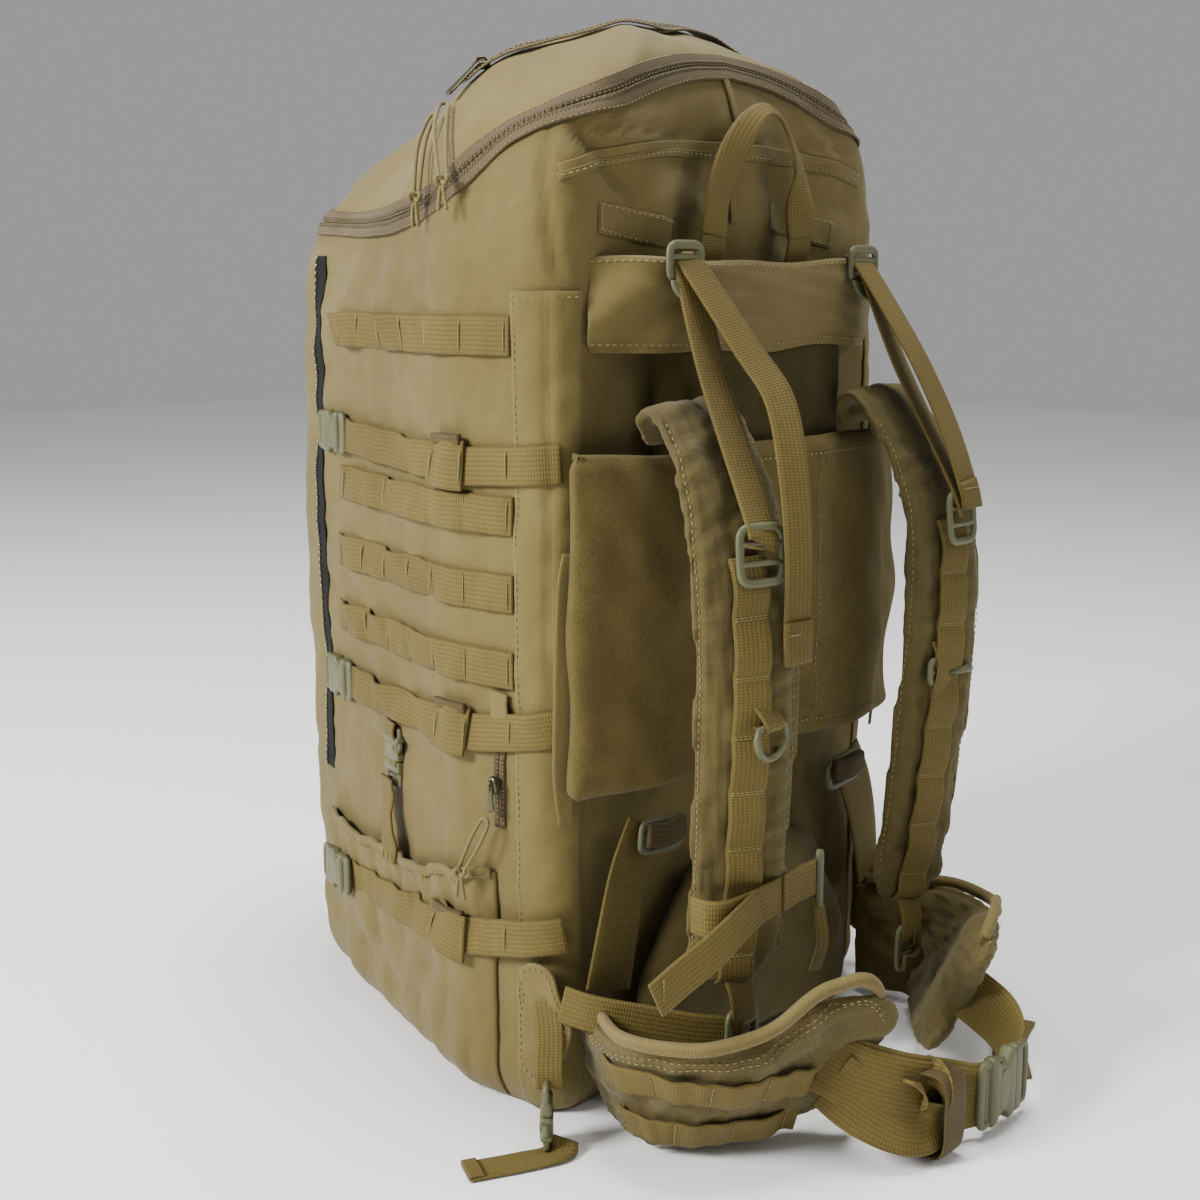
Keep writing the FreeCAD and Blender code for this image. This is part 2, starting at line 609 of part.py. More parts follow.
# ------------------------------------------------------------------ lower harness
lower_y = f"({SLEEVE_FACE} - 45)"
lower_locks = []
yoke_locks = []
yoke_straps = []
wings = []
lower_webbings = []
for side in (-1, 1):
    lower_locks.append(ring_frame((f"{side}*(dim.strap_x - 18)", f"{lower_y} - 5.2", "74"),
                                  LOCK_WIDE, LOCK_HIGH, LOCK_THICK, V(1, 0, 0), V(0, -1, 0)))
    yoke_locks.append(ring_frame((f"{side}*(dim.strap_x - 12)", "-dim.back_y - 24", "dim.sleeve_low - 36"),
                                 "46", "26", LOCK_THICK, V(1, 0, 0), V(0, -1, 0)))
    across = ["dim.strap_x + 42", "dim.strap_x + 3", "dim.half_side - 49", "dim.half_side - 10"]
    heights = ["dim.sleeve_low - 30", "dim.sleeve_low - 30", "96", "96"]
    yoke_straps.append(slab("XZ", [(f"{side}*({x})", z) for x, z in zip(across, heights)],
                            "-dim.back_y - 22", "-dim.back_y - 20"))
    run = [(f"{side}*(dim.half_side + 7)", "-dim.back_y - 18"),
           (f"{side}*(dim.half_side - 24)", "-dim.back_y - 54"),
           (f"{side}*(dim.strap_x - 14)", lower_y)]
    lower = ribbon("XY", run, f"{side}*dim.web_thick", "30", "140")
    slope = [(f"{side}*(dim.half_side + 12)", "101"), (f"{side}*(dim.half_side + 12)", "126"),
             (f"{side}*(dim.half_side - 24)", "112"), (f"{side}*(dim.strap_x - 20)", "87"),
             (f"{side}*(dim.strap_x - 20)", "62"), (f"{side}*(dim.half_side - 24)", "87")]
    lower_webbings.append(common(lower, slab("XZ", slope, *HARNESS_SIDE)))
    flap = [("-99", "114"), ("-116", "116"), ("-128", "99"), ("-134", "72"), ("-110", "30"),
            ("-94", "44")]
    wings.append(slab("YZ", flap, f"{side}*(dim.half_side + 4.3) - 1.3",
                      f"{side}*(dim.half_side + 4.3) + 1.3"))
keep("lower_ladder_locks", lower_locks)
keep("yoke_ladder_locks", yoke_locks)
keep("yoke_straps", yoke_straps)
keep("corner_wings", wings)
keep("lower_webbing", lower_webbings)

# corner buckles stand on the floor beside the flaps; their straps' tails lie on the floor
corner_sockets = []
tails = []
for side, word in ((-1, "left"), (1, "right")):
    place = (f"{side}*(dim.half_side + 16)", "-dim.back_y - 16", "3.5")
    socket, plug = buckle(place, UP, V(side * 0.68, 0.73, 0), "24", "24", "9")
    corner_sockets.append(socket)
    keep(f"corner_plug_{word}", [plug])
    tail = [("dim.half_side + 4", "-dim.back_y - 18"), ("dim.half_side + 79", "-dim.back_y + 12"),
            ("dim.half_side + 86", "-dim.back_y - 10"), ("dim.half_side + 16", "-dim.back_y - 48"),
            ("dim.half_side - 6", "-dim.back_y - 38")]
    tails.append(slab("XY", [(f"{side}*({x})", y) for x, y in tail], "0.6", "2.8"))
keep("corner_sockets", corner_sockets)
keep("corner_straps", tails)

# ------------------------------------------------------------------ hip belt
# each wing is lofted between its line on the floor and its wider line at the brim
foot = [("dim.half_side - 33", "-121"), ("dim.half_side - 28", "-178"), ("dim.half_side - 50", "-204"),
        ("104", "-224"), ("75", "-243"), ("48", "-268")]
brim = [("dim.half_side - 11", "-121"), ("dim.half_side + 34", "-188"), ("dim.half_side + 21", "-249"),
        ("164", "-276"), ("112", "-287"), ("66", "-310")]


def belt_section(side, points, height):
    """The belt wing's thick line in plan at one height."""
    section = doc.addObject("Part::Offset2D", "section")
    section.Source = draw("XY", [(f"{side}*({x})", y) for x, y in points], height, closed=False)
    section.Mode = "Skin"
    section.Join = "Intersection"
    section.Fill = True
    section.setExpression("Value", f"{side}*dim.belt_thick")
    return section


for side, word in ((-1, "left"), (1, "right")):
    loft = doc.addObject("Part::Loft", "lean")
    loft.Sections = [belt_section(side, foot, "0.3"), belt_section(side, brim, "1.25*dim.belt_high")]
    loft.Solid = True
    loft.Ruled = True
    edge = [("dim.half_side + 57", "-5"), ("dim.half_side + 57", "0.88*dim.belt_high"),
            ("150", "0.9*dim.belt_high"),
            ("110", "0.97*dim.belt_high"), ("60", "1.24*dim.belt_high"), ("20", "1.24*dim.belt_high"),
            ("20", "-5")]
    trim = slab("XZ", [(f"{side}*({x})", z) for x, z in edge], *HARNESS_SIDE)
    keep(f"hip_wing_{word}", [common(loft, trim)])

keep("belt_webbing_left", [
    ribbon("XY", [("-102", "-270"), ("-74", "-296"), ("-40", "-313"), ("-2", "-322")], "-4", "6", "56")])
floor_tail = slab("XY", [("92", "-312"), ("94", "-302"), ("150", "-262"), ("180", "-250"),
                         ("188", "-272"), ("124", "-300")], "0.6", "2.8")
keep("belt_webbing_right", [
    ribbon("XY", [("28", "-323"), ("62", "-319"), ("100", "-302")], "dim.web_thick", "6", "56"),
    floor_tail])
socket, plug = buckle(("0", "-327", "31"), V(1, 0, 0), V(0, -1, 0), "38", "50", "12")
keep("waist_socket", [socket])
keep("waist_plug", [plug])

# ------------------------------------------------------------------ grab handle
handle_z = "(dim.band_high + 15)"
hoop_path = [
    ("-dim.handle_half", handle_z), ("-0.84*dim.handle_half", f"{handle_z} + 0.55*dim.handle_rise"),
    ("-0.4*dim.handle_half", f"{handle_z} + 0.93*dim.handle_rise"),
    ("0.1*dim.handle_half", f"{handle_z} + dim.handle_rise"),
    ("0.56*dim.handle_half", f"{handle_z} + 0.9*dim.handle_rise"),
    ("0.92*dim.handle_half", f"{handle_z} + 0.5*dim.handle_rise"), ("dim.handle_half", handle_z),
]
keep("grab_handle", [ribbon("XZ", hoop_path, "-3", f"{back} - 30", f"{back} - 5")])

# ------------------------------------------------------------------ zip sliders and their cords
lid_slide_x = "(-0.62*dim.half_side)"
slide_body = box((f"{lid_slide_x} - 6", f"{lid_slide_x} + 6"), ("8", "20"),
                 ("dim.crest - 41.3", "dim.crest - 34"))
puller = slab("XZ", [(f"{lid_slide_x} - 4", "dim.crest - 35"), (f"{lid_slide_x} - 4", "dim.crest - 38"),
                     (f"{lid_slide_x} - 31", "dim.crest - 61"),
                     (f"{lid_slide_x} - 32.5", "dim.crest - 58.5")], "10", "18")
keep("lid_slider", [fuse([slide_body, puller])])
side_slide_x = "(-dim.half_side - 2)"
side_slide_z = "(dim.row_low - 79)"
slide_body = box((f"{side_slide_x} - 6", f"{side_slide_x} - 0.6"), ("-73", "-65"),
                 (f"{side_slide_z} - 6", f"{side_slide_z} + 8"))
puller = box((f"{side_slide_x} - 7", f"{side_slide_x} - 4"), ("-72", "-66"),
             (f"{side_slide_z} - 18", side_slide_z))
keep("side_slider", [fuse([slide_body, puller])])

# Each pull cord is a loop of thin cord: from its knot up through the puller and back to the knot.
CORD_D = 2.6
KNOT_R = 5
KNOT_TAIL = 18
LID_CORD_A = [
    (-192.6, -30, 626.7), (-177.9, -8.2, 654.5), (-161.5, 6.1, 669.5), (-151.2, 14.1, 677),
    (-146.8, 9.9, 677), (-156.5, 1.3, 669.5), (-172.1, -13.8, 654.5), (-189, -33.4, 626.7),
]
LID_CORD_B = [
    (-180.5, 3.1, 618.4), (-173, 7.1, 647.3), (-160.4, 11.4, 665.4), (-153.5, 14.6, 671),
    (-153.5, 20.4, 669.8), (-160.4, 18.2, 664), (-173, 14.9, 645.7), (-180.5, 8.1, 617.3),
]
SIDE_CORD = [
    (-199.7, -51.2, 171.9), (-196.8, -61.5, 188.5), (-194.7, -67.2, 201.2), (-193.5, -69.8, 208.6),
    (-193.5, -64.2, 211.4), (-194.7, -60, 204.7), (-196.8, -53.5, 192.5), (-199.7, -46.7, 174.1),
]
LID_KNOTS = [(-193, -34, 624), (-182, 5, 615)]
SIDE_KNOT = (-200, -48, 171)


def cord(name, route):
    """A tube along straight runs joined by tangent arcs as large as the runs allow."""
    points = [V(*place) for place in route]
    runs = [after - before for before, after in zip(points, points[1:])]
    edges = []
    start = points[0]
    radii = []
    for corner, run_in, run_out in zip(points[1:], runs, runs[1:]):
        turn = run_in.getAngle(run_out)
        reach = 0.45 * min(run_in.Length, run_out.Length)
        radii.append(reach / math.tan(turn / 2))
        into = V(run_in).normalize()
        out = V(run_out).normalize()
        arc_start = corner - into * reach
        arc_end = corner + out * reach
        bisector = (out - into).normalize()
        to_middle = radii[-1] * (1 / math.cos(turn / 2) - 1)
        edges.append(Part.LineSegment(start, arc_start).toShape())
        edges.append(Part.Arc(arc_start, corner + bisector * to_middle, arc_end).toShape())
        start = arc_end
    edges.append(Part.LineSegment(start, points[-1]).toShape())
    path = Part.Wire(edges)
    ring = Part.Wire(Part.makeCircle(CORD_D / 2, points[0], runs[0]))
    tube = path.makePipeShell([ring], True, False)
    expected = math.pi * CORD_D ** 2 / 4 * path.Length
    print(f"{name}: length {path.Length:.1f}, radii", [round(radius, 1) for radius in radii],
          f"volume ratio {tube.Volume / expected:.4f}")
    piece = doc.addObject("Part::Feature", name)
    piece.Shape = tube
    return piece


def knot(place, lean):
    """A round knot with the cord's two cut ends hanging under it."""
    ball = doc.addObject("Part::Sphere", "ball")
    ball.Radius = KNOT_R
    ball.Placement.Base = V(*place)
    parts = [ball]
    for side in (-1, 1):
        offset = V(*lean, 0) * side
        end = doc.addObject("Part::Cylinder", "end")
        end.Radius = CORD_D / 2
        end.Height = KNOT_TAIL
        end.Placement.Base = V(*place) + offset
        end.Placement.Rotation = FreeCAD.Rotation(V(0, 0, 1), offset * 0.1 - UP)
        parts.append(end)
    return fuse(parts)


keep("lid_pull_cord_a", [cord("lid_pull_cord_a", LID_CORD_A)])
keep("lid_pull_cord_b", [cord("lid_pull_cord_b", LID_CORD_B)])
keep("side_pull_cord", [cord("side_pull_cord", SIDE_CORD)])
keep("lid_pull_knots", [knot(LID_KNOTS[0], (1.4, -1.4)), knot(LID_KNOTS[1], (0, 2))])
keep("side_pull_knot", [knot(SIDE_KNOT, (0, 2))])

# ------------------------------------------------------------------ checks and files
doc.recompute()
faults = [item.Name for item in doc.Objects if "Invalid" in item.State or "Error" in item.State]
for name, piece in pieces.items():
    if piece.Shape.isNull() or not piece.Shape.isValid() or piece.Shape.Volume < 1:
        faults.append(name)
if faults:
    raise RuntimeError("failed: " + ", ".join(faults))
for name, piece in pieces.items():
    piece.Shape.exportStep(f"parts/{name}.step")
print(len(pieces), "nodes written")
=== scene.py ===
import math

import bpy
import numpy as np
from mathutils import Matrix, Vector
from mathutils.bvhtree import BVHTree


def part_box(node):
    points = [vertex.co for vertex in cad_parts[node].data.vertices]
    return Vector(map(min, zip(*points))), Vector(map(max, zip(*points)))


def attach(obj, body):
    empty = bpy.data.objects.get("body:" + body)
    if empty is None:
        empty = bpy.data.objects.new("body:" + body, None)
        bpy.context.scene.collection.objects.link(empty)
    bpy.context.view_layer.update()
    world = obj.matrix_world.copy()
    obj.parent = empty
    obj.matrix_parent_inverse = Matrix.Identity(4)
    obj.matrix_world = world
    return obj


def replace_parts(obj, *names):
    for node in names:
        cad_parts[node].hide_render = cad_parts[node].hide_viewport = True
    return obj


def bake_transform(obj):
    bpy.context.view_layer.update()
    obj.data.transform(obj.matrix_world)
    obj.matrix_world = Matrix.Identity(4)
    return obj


# The looks of a large framed hunting backpack. Lengths in this script are millimetres in the row frame,
# and make() turns them into metres; -Y is the harness side and the left side is -X.

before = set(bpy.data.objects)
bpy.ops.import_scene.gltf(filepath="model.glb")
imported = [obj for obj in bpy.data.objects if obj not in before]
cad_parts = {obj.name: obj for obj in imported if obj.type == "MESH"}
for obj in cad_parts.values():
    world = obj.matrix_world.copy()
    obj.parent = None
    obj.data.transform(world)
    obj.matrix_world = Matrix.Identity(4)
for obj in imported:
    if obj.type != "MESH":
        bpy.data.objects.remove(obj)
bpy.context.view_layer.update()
MM = 0.001
LEFT_RIGHT = ((-1, "left"), (1, "right"))
ROUND_WAY = ((1, "left"), (-1, "right"))  # distances round the bag are positive on the left


def cad(node):
    """Lowest and highest corner of a CAD node, in millimetres."""
    low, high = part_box(node)
    return np.array(low) / MM, np.array(high) / MM


def centre_of(node):
    """The middle of a CAD node's box, in millimetres."""
    return np.mean(cad(node), axis=0)


# ------------------------------------------------------------------ small mathematics
def unit(rows):
    rows = np.asarray(rows, float)
    return rows / np.maximum(np.linalg.norm(rows, axis=-1, keepdims=True), 1e-9)


def run_along(points):
    """Distances along a line of points, starting at zero."""
    return np.r_[0, np.cumsum(np.linalg.norm(np.diff(points, axis=0), axis=1))]


def sample(rows, run, at):
    """Rows of a line read off at distances along it."""
    return np.column_stack([np.interp(at, run, column) for column in np.asarray(rows, float).T])


def ease(points, outs, times):
    """Evens out the inner points of a line and their directions, in place."""
    for _ in range(times):
        outs[1:-1] = unit(outs[:-2] + outs[1:-1] * 2 + outs[2:])
        points[1:-1] = (points[:-2] + 2 * points[1:-1] + points[2:]) / 4


def mirror(side, rows):
    """Strap rows given for the right side (+1), turned to the asked side."""
    return [(side * x, y, z, side * facing_x, *rest) for x, y, z, facing_x, *rest in rows]


def curve(*rows):
    """A smooth curve y(x) through its (x, y) rows, flat beyond its ends."""
    xs, ys = np.array(rows, float).T
    slopes = np.gradient(ys, xs)

    def value(x):
        x = np.clip(x, xs[0], xs[-1])
        k = np.clip(np.searchsorted(xs, x) - 1, 0, len(xs) - 2)
        step = xs[k + 1] - xs[k]
        t = (x - xs[k]) / step
        start = (2 * t**3 - 3 * t**2 + 1) * ys[k] + (t**3 - 2 * t**2 + t) * step * slopes[k]
        return start + (3 * t**2 - 2 * t**3) * ys[k + 1] + (t**3 - t**2) * step * slopes[k + 1]

    return value


def spline(rows, count=60):
    """Even samples of a smooth line through control rows; only the first three columns set the spacing."""
    rows = np.array(rows, float)
    padded = np.vstack([2 * rows[0] - rows[1], rows, 2 * rows[-1] - rows[-2]])
    t = np.linspace(0, 1, 24, endpoint=False)[:, None]
    dense = []
    for a, b, c, d in zip(padded, padded[1:], padded[2:], padded[3:]):
        dense.append(0.5 * (2 * b + (c - a) * t + (2 * a - 5 * b + 4 * c - d) * t**2
                            + (3 * b - a - 3 * c + d) * t**3))
    dense = np.vstack(dense + [rows[-1:]])
    run = run_along(dense[:, :3])
    at = np.linspace(0, run[-1], count)
    return sample(dense, run, at)


def ripple(u, v, seed, wave_u, wave_v, waves=16):
    """A smooth random surface of about unit height, with these wavelengths along u and v."""
    rng = np.random.default_rng(seed)
    total = np.zeros(np.broadcast(u, v).shape)
    for _ in range(waves):
        a, b = rng.normal(size=2)
        total += np.sin(a * 2 * math.pi * u / wave_u + b * 2 * math.pi * v / wave_v + rng.uniform(0, 6.28))
    return total / math.sqrt(waves / 2)


def bump(x, centre, half):
    """1 at a centre, falling smoothly to 0 at half either side."""
    return np.cos(np.clip((x - centre) / half, -1, 1) * math.pi / 2) ** 2


def between(x, low, high, soft):
    """1 between two values, with soft ends."""
    return 1 / (1 + np.exp(-(x - low) / soft)) / (1 + np.exp((x - high) / soft))


# ------------------------------------------------------------------ mesh making
def add_object(name, data):
    """A new object, linked to the scene."""
    piece = bpy.data.objects.new(name, data)
    bpy.context.scene.collection.objects.link(piece)
    return piece


def set_weave(piece, coords):
    """Weave coordinates on a piece's points, for its cloth's threads to follow."""
    attribute = piece.data.attributes.get("weave") or piece.data.attributes.new(
        "weave", "FLOAT_VECTOR", "POINT")
    rows = np.column_stack([coords, np.zeros(len(coords))]).astype(np.float32)
    attribute.data.foreach_set("vector", rows.ravel())


def make(name, points, faces, finish, body, weave=None):
    """A mesh piece from millimetre points, riding on a body."""
    mesh = bpy.data.meshes.new(name)
    mesh.from_pydata((np.asarray(points, float) * MM).tolist(), [], [list(map(int, f)) for f in faces])
    mesh.validate()
    mesh.update()
    mesh.shade_smooth()
    piece = add_object(name, mesh)
    if weave is not None:
        set_weave(piece, weave)
    piece.data.materials.append(finish)
    if body:
        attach(piece, body)
    return piece


def grid_faces(rows, columns, closed=False, start=0):
    """Quads of a grid whose points run column by column within each row."""
    wide = columns if closed else columns - 1
    faces = []
    for i in range(rows - 1):
        for j in range(wide):
            after = (j + 1) % columns
            a, b = start + i * columns, start + (i + 1) * columns
            faces.append((a + j, a + after, b + after, b + j))
    return faces


def capped_faces(rows, columns):
    """Faces of a closed stack of rings with both its ends filled."""
    ends = [list(range(columns))[::-1], [(rows - 1) * columns + k for k in range(columns)]]
    return grid_faces(rows, columns, closed=True) + ends


def apply_modifiers(piece):
    """Replaces a piece's mesh by what its modifiers make of it."""
    graph = bpy.context.evaluated_depsgraph_get()
    finished = bpy.data.meshes.new_from_object(piece.evaluated_get(graph))
    piece.modifiers.clear()
    piece.data = finished
    return piece


def thicken(piece, thick, offset=-1):
    """Gives a sheet its thickness, inward by default."""
    solid = piece.modifiers.new("cloth", "SOLIDIFY")
    solid.thickness = thick * MM
    solid.offset = offset
    return apply_modifiers(piece)


def points_of(piece):
    """A piece's own points, in millimetres."""
    return np.array([vertex.co for vertex in piece.data.vertices]) / MM


def frames(centres, faces):
    """Tangent, across and outward directions along a line."""
    tangents = unit(np.gradient(centres, axis=0))
    across = unit(np.cross(tangents, faces))
    return tangents, across, unit(np.cross(across, tangents))


SECTION = [(-1, 0), (-0.97, 0.8), (-0.7, 1), (-0.35, 1), (0, 1), (0.35, 1), (0.7, 1), (0.97, 0.8),
           (1, 0), (0.97, -0.8), (0.7, -1), (0, -1), (-0.7, -1), (-0.97, -0.8)]


def ribbon(name, centres, faces, width, thick, finish, body, crown=0.0, section=None):
    """A flat strap along a line of centres that faces the given way; width may change along it."""
    section = np.array(section or SECTION)
    _, across, outward = frames(centres, faces)
    width = np.broadcast_to(width, len(centres))
    points, weave = [], []
    run = run_along(centres)
    for place, side, out, wide, along in zip(centres, across, outward, width, run):
        u = section[:, 0] * wide / 2
        w = section[:, 1] * thick / 2 + crown * (1 - section[:, 0] ** 2)
        points.append(place + u[:, None] * side + w[:, None] * out)
        weave.append(np.column_stack([u, np.full(len(u), along)]))
    return make(name, np.vstack(points), capped_faces(len(centres), len(section)), finish, body,
                np.vstack(weave))


def tube(name, centres, radius, finish, body, closed=False, sides=10, flat=1.0):
    """A round bar along a line, or a ring when closed."""
    centres = np.asarray(centres, float)
    count = len(centres)
    if closed:
        tangents = unit(np.roll(centres, -1, axis=0) - np.roll(centres, 1, axis=0))
    else:
        tangents = unit(np.gradient(centres, axis=0))
    middle = unit(np.cross(tangents[0], centres[count // 3] - centres[0]) + 1e-6)
    side = unit(np.cross(tangents, middle))
    up = unit(np.cross(side, tangents))
    turn = np.linspace(0, 2 * math.pi, sides, endpoint=False)
    radius = np.broadcast_to(radius, count)
    points = []
    for place, a, b, r in zip(centres, side, up, radius):
        points.append(place + r * (np.cos(turn)[:, None] * a + flat * np.sin(turn)[:, None] * b))
    if closed:
        last = (count - 1) * sides
        faces = grid_faces(count, sides, closed=True)
        faces += [(last + k, last + (k + 1) % sides, (k + 1) % sides, k) for k in range(sides)]
    else:
        faces = capped_faces(count, sides)
    weave = np.column_stack([np.tile(turn, count), np.repeat(np.arange(count), sides)])
    return make(name, np.vstack(points), faces, finish, body, weave)


def dashes(name, starts, ends, outs, wide, high, finish, body):
    """Many small raised bars: stitches, bar tacks or zip teeth."""
    starts, ends, outs = (np.asarray(rows, float) for rows in (starts, ends, outs))
    side = unit(np.cross(ends - starts, outs)) * wide / 2
    middle_a = starts + (ends - starts) * 0.22
    middle_b = starts + (ends - starts) * 0.78
    rise = unit(outs) * high
    corners = [starts, middle_a + side, middle_a + rise, middle_a - side,
               middle_b + side, middle_b + rise, middle_b - side, ends]
    points = np.stack(corners, axis=1).reshape(-1, 3)
    pattern = [(0, 2, 1), (0, 3, 2), (1, 2, 5, 4), (2, 3, 6, 5), (7, 4, 5), (7, 5, 6),
               (0, 1, 3), (1, 4, 6, 3), (7, 6, 4)]
    faces = [[8 * k + corner for corner in face] for k in range(len(starts)) for face in pattern]
    return make(name, points, faces, finish, body)


class Seams:
    """Collects stitch lines, then makes one piece of them for each body."""

    def __init__(self):
        self.rows = {}

    def row(self, place, cells, out, body="bag"):
        """Stitches end to end across one place, from each offset in cells to the next."""
        self.add(place + cells[:-1], place + cells[1:], np.tile(out, (len(cells) - 1, 1)), body)

    def line(self, centres, outs, body="bag", dash=3.0, gap=1.9, lift=0.25):
        """Running stitches along a line."""
        centres = np.asarray(centres, float)
        run = run_along(centres)
        at = np.arange(gap, run[-1] - dash, dash + gap)
        if len(at) == 0:
            return
        starts, ends = (sample(centres, run, at + add) for add in (0, dash))
        out = unit(sample(outs, run, at))
        self.add(starts + out * lift, ends + out * lift, out, body)

    def add(self, starts, ends, outs, body="bag"):
        store = self.rows.setdefault(body, [[], [], []])
        for rows, new in zip(store, (starts, ends, outs)):
            rows.append(np.atleast_2d(new))

    def finish(self, name, material, slot, wide=0.9, high=0.5):
        for body, (starts, ends, outs) in self.rows.items():
            dashes(f"{name}_{body}", np.vstack(starts), np.vstack(ends), np.vstack(outs), wide, high,
                   material, body)


# ------------------------------------------------------------------ materials
def shader(name, roughness, **values):
    """A new material, its node tree and its Principled shader with uniform values set on it."""
    material = bpy.data.materials.new(name)
    material.use_nodes = True
    tree = material.node_tree
    surface = tree.nodes["Principled BSDF"]
    surface.inputs["Roughness"].default_value = roughness
    for key, value in values.items():
        surface.inputs[key.replace("_", " ")].default_value = value
    return material, tree, surface


def add_node(tree, kind, links=(), **values):
    node = tree.nodes.new(kind)
    for key, value in values.items():
        if key in node.inputs.keys():
            node.inputs[key].default_value = value
        else:
            setattr(node, key, value)
    for socket, source in links:
        tree.links.new(source, node.inputs[socket])
    return node


def colour_ramp(tree, source, stops):
    ramp = add_node(tree, "ShaderNodeValToRGB", [("Fac", source)])
    while len(ramp.color_ramp.elements) < len(stops):
        ramp.color_ramp.elements.new(0.5)
    for element, (place, colour) in zip(ramp.color_ramp.elements, stops):
        element.position = place
        element.color = (*colour, 1)
    return ramp.outputs["Color"]


def maths(tree, operation, first, second):
    node = tree.nodes.new("ShaderNodeMath")
    node.operation = operation
    for socket, value in enumerate((first, second)):
        if isinstance(value, (int, float)):
            node.inputs[socket].default_value = value
        else:
            tree.links.new(value, node.inputs[socket])
    return node.outputs[0]


def mixed(tree, kind, amount, first, second):
    node = add_node(tree, "ShaderNodeMix", data_type="RGBA", blend_type=kind)
    sockets = [s for s in node.inputs if s.type == "RGBA"]
    if isinstance(amount, (int, float)):
        node.inputs[0].default_value = amount
    else:
        tree.links.new(amount, node.inputs[0])
    for socket, value in zip(sockets, (first, second)):
        if isinstance(value, tuple):
            socket.default_value = (*value, 1)
        else:
            tree.links.new(value, socket)
    return [s for s in node.outputs if s.type == "RGBA"][0]


def noise_of(tree, place, scale, detail=3.0, roughness=0.55):
    node = add_node(tree, "ShaderNodeTexNoise", [("Vector", place)], Scale=scale, Detail=detail,
                    Roughness=roughness)
    return node.outputs["Fac"]


def wave_of(tree, place, direction, period, distort=0.0):
    """Bands along one direction; place is in millimetres, so is the period."""
    node = add_node(tree, "ShaderNodeTexWave", [("Vector", place)], bands_direction=direction,
                    Scale=0.314 / period, Distortion=distort, Detail=1.0)
    node.inputs["Detail Scale"].default_value = 1.5
    return node.outputs["Fac"]


def woven(name, dark, light, warp, weft, depth, sheen=0.1, roughness=0.82, thread_gap_shade=0.25):
    """Woven cloth: bands both ways from the weave coordinates, colour drift, speckle and painted shade in the
    gaps between threads.
    """
    material, tree, surface = shader(name, roughness, Sheen_Weight=sheen, Sheen_Roughness=0.45,
                                     Specular_IOR_Level=0.28)
    weave = add_node(tree, "ShaderNodeAttribute", attribute_name="weave").outputs["Vector"]
    place = add_node(tree, "ShaderNodeTexCoord").outputs["Object"]
    drift = noise_of(tree, place, 9.0)
    speckle = noise_of(tree, place, 700.0, 2.0)
    threads = maths(tree, "MULTIPLY", wave_of(tree, weave, "X", warp, 0.4),
                    wave_of(tree, weave, "Y", weft, 0.4))
    base = colour_ramp(tree, drift, [(0.3, dark), (0.7, light)])
    grain = colour_ramp(tree, speckle, [(0.3, (0.72, 0.71, 0.68)), (0.7, (1.0, 1.0, 1.0))])
    # painted shade: the hollows between threads, the low parts of the bump below, are darkened by this amount
    gaps = colour_ramp(tree, threads, [(0.0, (1 - thread_gap_shade, 1 - thread_gap_shade, 1 - thread_gap_shade)), (0.6, (1.0, 1.0, 1.0))])
    colour = mixed(tree, "MULTIPLY", 0.6, base, grain)
    colour = mixed(tree, "MULTIPLY", 1.0, colour, gaps)
    tree.links.new(colour, surface.inputs["Base Color"])
    height = maths(tree, "ADD", threads, maths(tree, "MULTIPLY", speckle, 0.6))
    relief = add_node(tree, "ShaderNodeBump", [("Height", height)], Strength=0.55, Distance=depth * MM)
    tree.links.new(relief.outputs["Normal"], surface.inputs["Normal"])
    return material


def suede_finish(name, dark, light):
    """Brushed suede: mottled nap with directional marks."""
    material, tree, surface = shader(name, 0.95, Sheen_Weight=0.04, Sheen_Roughness=0.5,
                                     Specular_IOR_Level=0.12)
    place = add_node(tree, "ShaderNodeTexCoord").outputs["Object"]
    marks = noise_of(tree, place, 22.0, 6.0, 0.7)
    nap = noise_of(tree, place, 900.0, 3.0, 0.7)
    base = colour_ramp(tree, marks, [(0.32, dark), (0.68, light)])
    pits = colour_ramp(tree, nap, [(0.35, (0.55, 0.52, 0.5)), (0.6, (1.0, 1.0, 1.0))])
    tree.links.new(mixed(tree, "MULTIPLY", 0.75, base, pits), surface.inputs["Base Color"])
    relief = add_node(tree, "ShaderNodeBump", [("Height", nap)], Strength=0.6, Distance=0.5 * MM)
    tree.links.new(relief.outputs["Normal"], surface.inputs["Normal"])
    return material


def moulded(name, dark, light, roughness=0.42, metallic=0.0, grain=0.12):
    """Moulded plastic or painted metal: fine texture, faint colour drift and uneven gloss."""
    material, tree, surface = shader(name, roughness, Metallic=metallic, Specular_IOR_Level=0.5)
    place = add_node(tree, "ShaderNodeTexCoord").outputs["Object"]
    drift = noise_of(tree, place, 40.0, 4.0)
    fine = noise_of(tree, place, 1500.0, 2.0)
    tree.links.new(colour_ramp(tree, drift, [(0.3, dark), (0.7, light)]), surface.inputs["Base Color"])
    gloss = maths(tree, "ADD", maths(tree, "MULTIPLY", drift, 0.22), roughness - 0.1)
    tree.links.new(gloss, surface.inputs["Roughness"])
    relief = add_node(tree, "ShaderNodeBump", [("Height", fine)], Strength=0.35, Distance=grain * MM)
    tree.links.new(relief.outputs["Normal"], surface.inputs["Normal"])
    return material


TONE = 0.62
SATURATION = 1.6
TINT = [1.0, 1.005, 0.95]


def srgb(red, green, blue):
    """A colour given on the 0 to 255 display scale, as the shader's linear one."""
    values = np.array([red, green, blue]) / 255
    values = np.clip(values.mean() + (values - values.mean()) * SATURATION, 0, 1) * TONE * TINT
    return tuple(np.where(values <= 0.04045, values / 12.92, ((values + 0.055) / 1.055) ** 2.4).tolist())


